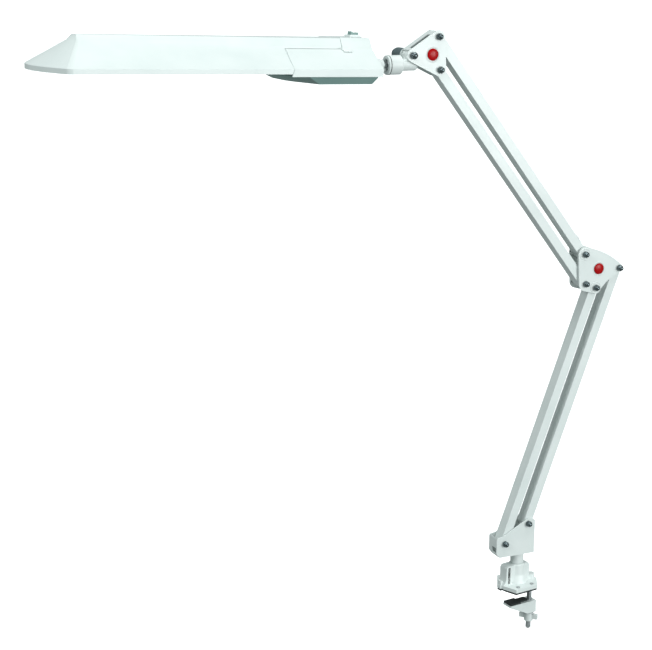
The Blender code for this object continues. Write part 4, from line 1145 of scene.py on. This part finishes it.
@dataclass
class HeadBracket:
    """Triangular head bracket, its caps and spacer."""

    shop: Shop
    pivots: Pivots
    outside: float = SHEET_OUTSIDE

    def build(self) -> None:
        """Build the bracket's pieces."""
        self.shop.rounded("Head_Bracket", 0.35 * MM)
        self.shop.rounded("Head_Spacer", 0.2 * MM)
        for node, up in (("Head_Cap_Near", -1.0), ("Head_Cap_Far", 1.0)):
            domed_cap(self.shop, node, self.outside, up)
        frame = self.shop.frame
        caps = [frame.middle("Head_Cap_Near")]
        self.pivots.rings("head_cap_rings", caps, self.outside, "head_bracket", CAP_RING)


@dataclass
class Swivel:
    """Ball socket, its ring, the ball's stem and the tilt knob."""

    shop: Shop
    knob_radius: float = 6.45 * MM
    flutes: int = 24

    def build(self) -> None:
        """Build the swivel's pieces."""
        self.shop.rounded("Swivel_Body", 0.4 * MM)
        self.shop.rounded("Swivel_Ring", 0.25 * MM)
        self.shop.rounded("Ball_Stem", 0.2 * MM)
        self.dark_ring()
        self.knob()

    def dark_ring(self) -> None:
        """Build a thin black ring between the collar and its ring: painted shade that darkens the gap
        there.
        """
        low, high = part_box("Swivel_Ring")
        middle = (low + high) / 2
        wire = 0.3 * MM
        reach = (high.z - low.z) / 2 - 0.1 * MM
        angles = [2 * math.pi * i / 10 for i in range(10)]
        loop = [(reach + wire * math.cos(a), wire * math.sin(a)) for a in angles]
        turn = Matrix.Rotation(math.pi / 2, 4, "Y")
        place = Matrix.Translation((high.x + 0.15 * MM, middle.y, middle.z)) @ turn
        mesh = self.shop.soften(lathe(loop, place, 48, True), 0.0)
        self.shop.piece("collar_seal", mesh, "head_socket", RUBBER)

    def knob(self) -> None:
        """Build the knob with shallow flutes round its grip."""
        frame = self.shop.frame
        low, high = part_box("Tilt_Knob")
        start = -high.y
        end = -low.y
        mesh = bpy.data.meshes.new("knob")
        shape = bmesh.new()
        radius = self.knob_radius
        rows = []
        steps = self.flutes * 4
        levels = [
            (start, 0.80, 0.0),
            (start + 3.0 * MM, 0.80, 0.0),
            (start + 3.4 * MM, 0.96, 0.0),
            (start + 4.2 * MM, 1.0, 0.5),
            (start + 5.2 * MM, 1.0, 1.0),
            (end - 4.4 * MM, 1.0, 1.0),
            (end - 3.2 * MM, 0.99, 0.5),
            (end - 2.0 * MM, 0.92, 0.0),
            (end - 0.7 * MM, 0.76, 0.0),
            (end - 0.15 * MM, 0.55, 0.0),
            (end, 0.35, 0.0),
        ]
        for high_at, share, flute in levels:
            row = []
            for i in range(steps):
                angle = 2 * math.pi * i / steps
                dip = 0.028 * flute * (0.5 + 0.5 * math.cos(self.flutes * angle))
                reach = radius * (share - dip)
                row.append(shape.verts.new((reach * math.cos(angle), reach * math.sin(angle), high_at)))
            rows.append(row)
        for lower, upper in zip(rows, rows[1:]):
            for i in range(steps):
                k = (i + 1) % steps
                shape.faces.new((lower[i], lower[k], upper[k], upper[i]))
        shape.faces.new(rows[-1])
        shape.faces.new(list(reversed(rows[0])))
        bmesh.ops.recalc_face_normals(shape, faces=shape.faces)
        bmesh.ops.transform(shape, matrix=along_y(frame.middle("Tilt_Knob")), verts=shape.verts)
        shape.to_mesh(mesh)
        shape.free()
        fluted = self.shop.soften(mesh, 0.0)
        self.shop.piece("tilt_knob_fluted", fluted, "tilt_knob", DARK, ["Tilt_Knob"])


@dataclass
class Head:
    """Shade, housing, cover, neck, switch and lamp."""

    shop: Shop
    widths: dict[str, float] = field(
        default_factory=lambda: {
            "Neck": 0.5,
            "Shade": 0.5,
            "Housing": 0.5,
            "Bottom_Cover": 0.6,
            "Reflector": 0.15,
            "Lamp_Holder": 0.5,
            "Driver": 0.8,
            "Switch_Bezel": 0.4,
            "Cable_Gland": 0.3,
            "Cover_Clip_Near": 0.4,
            "Cover_Clip_Far": 0.4,
            "Switch_Rocker": 0.35,
            "Lamp_Base": 1.0,
        }
    )

    def build(self) -> None:
        """Build the head's pieces."""
        for node, width in self.widths.items():
            self.shop.rounded(node, width * MM)
        self.tube()
        self.screws()

    def tube(self) -> None:
        """Build the twin tube."""
        self.shop.rounded("Lamp_Tube", 0.0, "twin_tube")

    def screws(self) -> None:
        """Build the cover's screws."""
        for node in ("Cover_Screw_1", "Cover_Screw_2"):
            self.shop.rounded(node, 0.12 * MM)


@dataclass
class Studio:
    """Floor, light and camera."""

    eye: tuple[float, float, float] = (-0.7864, -1.3167, 0.6808)
    turn: float = math.radians(22.82)
    dip: float = math.radians(13.98)
    lens: float = 1452.4 / 652 * 36.0

    def build(self, low: float) -> None:
        """Build the studio.

        Args:
            low: the lowest point of the lamp.
        """
        self.floor(low)
        self.backdrop()
        self.lights()
        self.camera()

    def floor(self, low: float) -> None:
        """Lay a wide pale floor under the lamp."""
        mesh = bpy.data.meshes.new("floor")
        half = 300.0
        high = low - 0.0002
        corners = [(-half, -half, high), (half, -half, high), (half, half, high), (-half, half, high)]
        mesh.from_pydata(corners, [], [(0, 1, 2, 3)])
        material = bpy.data.materials.new("pale_floor")
        material.use_nodes = True
        shader = material.node_tree.nodes["Principled BSDF"]
        shader.inputs["Base Color"].default_value = (0.93, 0.93, 0.93, 1.0)
        shader.inputs["Roughness"].default_value = 0.9
        shader.inputs["Specular IOR Level"].default_value = 0.1
        shader.inputs["Emission Color"].default_value = (1.0, 1.0, 1.0, 1.0)
        shader.inputs["Emission Strength"].default_value = 0.62
        mesh.materials.append(material)
        item = bpy.data.objects.new("floor", mesh)
        item.visible_diffuse = False
        item.visible_glossy = False
        bpy.context.scene.collection.objects.link(item)
        item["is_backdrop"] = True

    def backdrop(self) -> None:
        """Hang a plain white dome far behind everything."""
        mesh = bpy.data.meshes.new("backdrop")
        shape = bmesh.new()
        bmesh.ops.create_uvsphere(shape, u_segments=48, v_segments=24, radius=60.0)
        shape.to_mesh(mesh)
        shape.free()
        material = bpy.data.materials.new("white_backdrop")
        material.use_nodes = True
        shader = material.node_tree.nodes["Principled BSDF"]
        shader.inputs["Emission Color"].default_value = (1.0, 1.0, 1.0, 1.0)
        shader.inputs["Emission Strength"].default_value = 1.0
        mesh.materials.append(material)
        item = bpy.data.objects.new("backdrop", mesh)
        item.visible_diffuse = False
        item.visible_glossy = False
        item.visible_transmission = False
        item.visible_shadow = False
        bpy.context.scene.collection.objects.link(item)
        item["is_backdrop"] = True

    def lamp(
        self, name: str, place: Sequence[float], size: float, power: float, aim: Sequence[float]
    ) -> None:
        """Hang one soft light.

        Args:
            name: the light's name.
            place: where it hangs.
            size: its side.
            power: its power in watts.
            aim: the point that it faces.
        """
        light = bpy.data.lights.new(name, "AREA")
        light.shape = "SQUARE"
        light.size = size
        light.energy = power
        light.color = (0.955, 1.0, 0.995)
        item = bpy.data.objects.new(name, light)
        item.location = place
        item.rotation_euler = (Vector(aim) - Vector(place)).to_track_quat("-Z", "Y").to_euler()
        bpy.context.scene.collection.objects.link(item)

    def lights(self) -> None:
        """Hang the lights and set the room's even glow."""
        aim = (-0.1, 0.0, 0.35)
        self.lamp("key_light", (1.1, -2.4, 0.7), 1.3, 41.0, aim)
        self.lamp("spark_light", (0.1, -2.3, 0.7), 0.3, 3.5, aim)
        self.lamp("side_light", (-2.4, -0.9, 2.2), 1.2, 26.0, aim)
        sun = bpy.data.lights.new("overhead", "SUN")
        sun.energy = 1.7
        sun.angle = math.radians(50.0)
        sun.color = (0.955, 1.0, 0.995)
        overhead = bpy.data.objects.new("overhead", sun)
        overhead.location = (0.0, 0.0, 3.0)
        bpy.context.scene.collection.objects.link(overhead)
        world = bpy.data.worlds.new("room")
        bpy.context.scene.world = world
        world.use_nodes = True
        glow = world.node_tree.nodes["Background"]
        glow.inputs["Color"].default_value = (0.88, 1.0, 0.99, 1.0)
        glow.inputs["Strength"].default_value = 0.3
        bpy.context.scene.view_settings.view_transform = "Standard"

    def camera(self) -> None:
        """Set the camera at the viewing angle."""
        data = bpy.data.cameras.new("camera")
        data.sensor_width = 36.0
        data.sensor_fit = "HORIZONTAL"
        data.lens = self.lens
        item = bpy.data.objects.new("camera", data)
        level = math.cos(self.dip)
        facing = Vector((math.sin(self.turn) * level, math.cos(self.turn) * level, -math.sin(self.dip)))
        item.location = self.eye
        item.rotation_euler = facing.to_track_quat("-Z", "Y").to_euler()
        bpy.context.scene.collection.objects.link(item)
        bpy.context.scene.camera = item


def main() -> None:
    """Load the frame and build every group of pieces."""
    logging.basicConfig(level=logging.INFO, format="%(message)s")
    frame = Frame(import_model())
    cad_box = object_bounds()
    shop = Shop(frame)
    pivots = Pivots(shop)
    Studio().build(cad_box[0][2])
    Clamp(shop).build()
    Base(shop).build()
    Arms(shop).build()
    Elbow(shop, pivots).build()
    HeadBracket(shop, pivots).build()
    Swivel(shop).build()
    Head(shop).build()
    elbow_pins = ["Pivot_Elbow_" + end for end in ("Left", "Low", "Right", "Top")]
    pivots.set_of("base_bolts", ["Pivot_Base_Left", "Pivot_Base_Right"], SHEET_OUTSIDE)
    pivots.set_of("elbow_bolts", elbow_pins, ELBOW_OUTSIDE)
    pivots.set_of("head_bolts", ["Pivot_Head_Low", "Pivot_Head_Top"], SHEET_OUTSIDE)
    shop.rounded("Pivot_Head_Tilt", 0.2 * MM)
    LOG.info("%d pieces", shop.made)


if __name__ == "__main__":
    main()
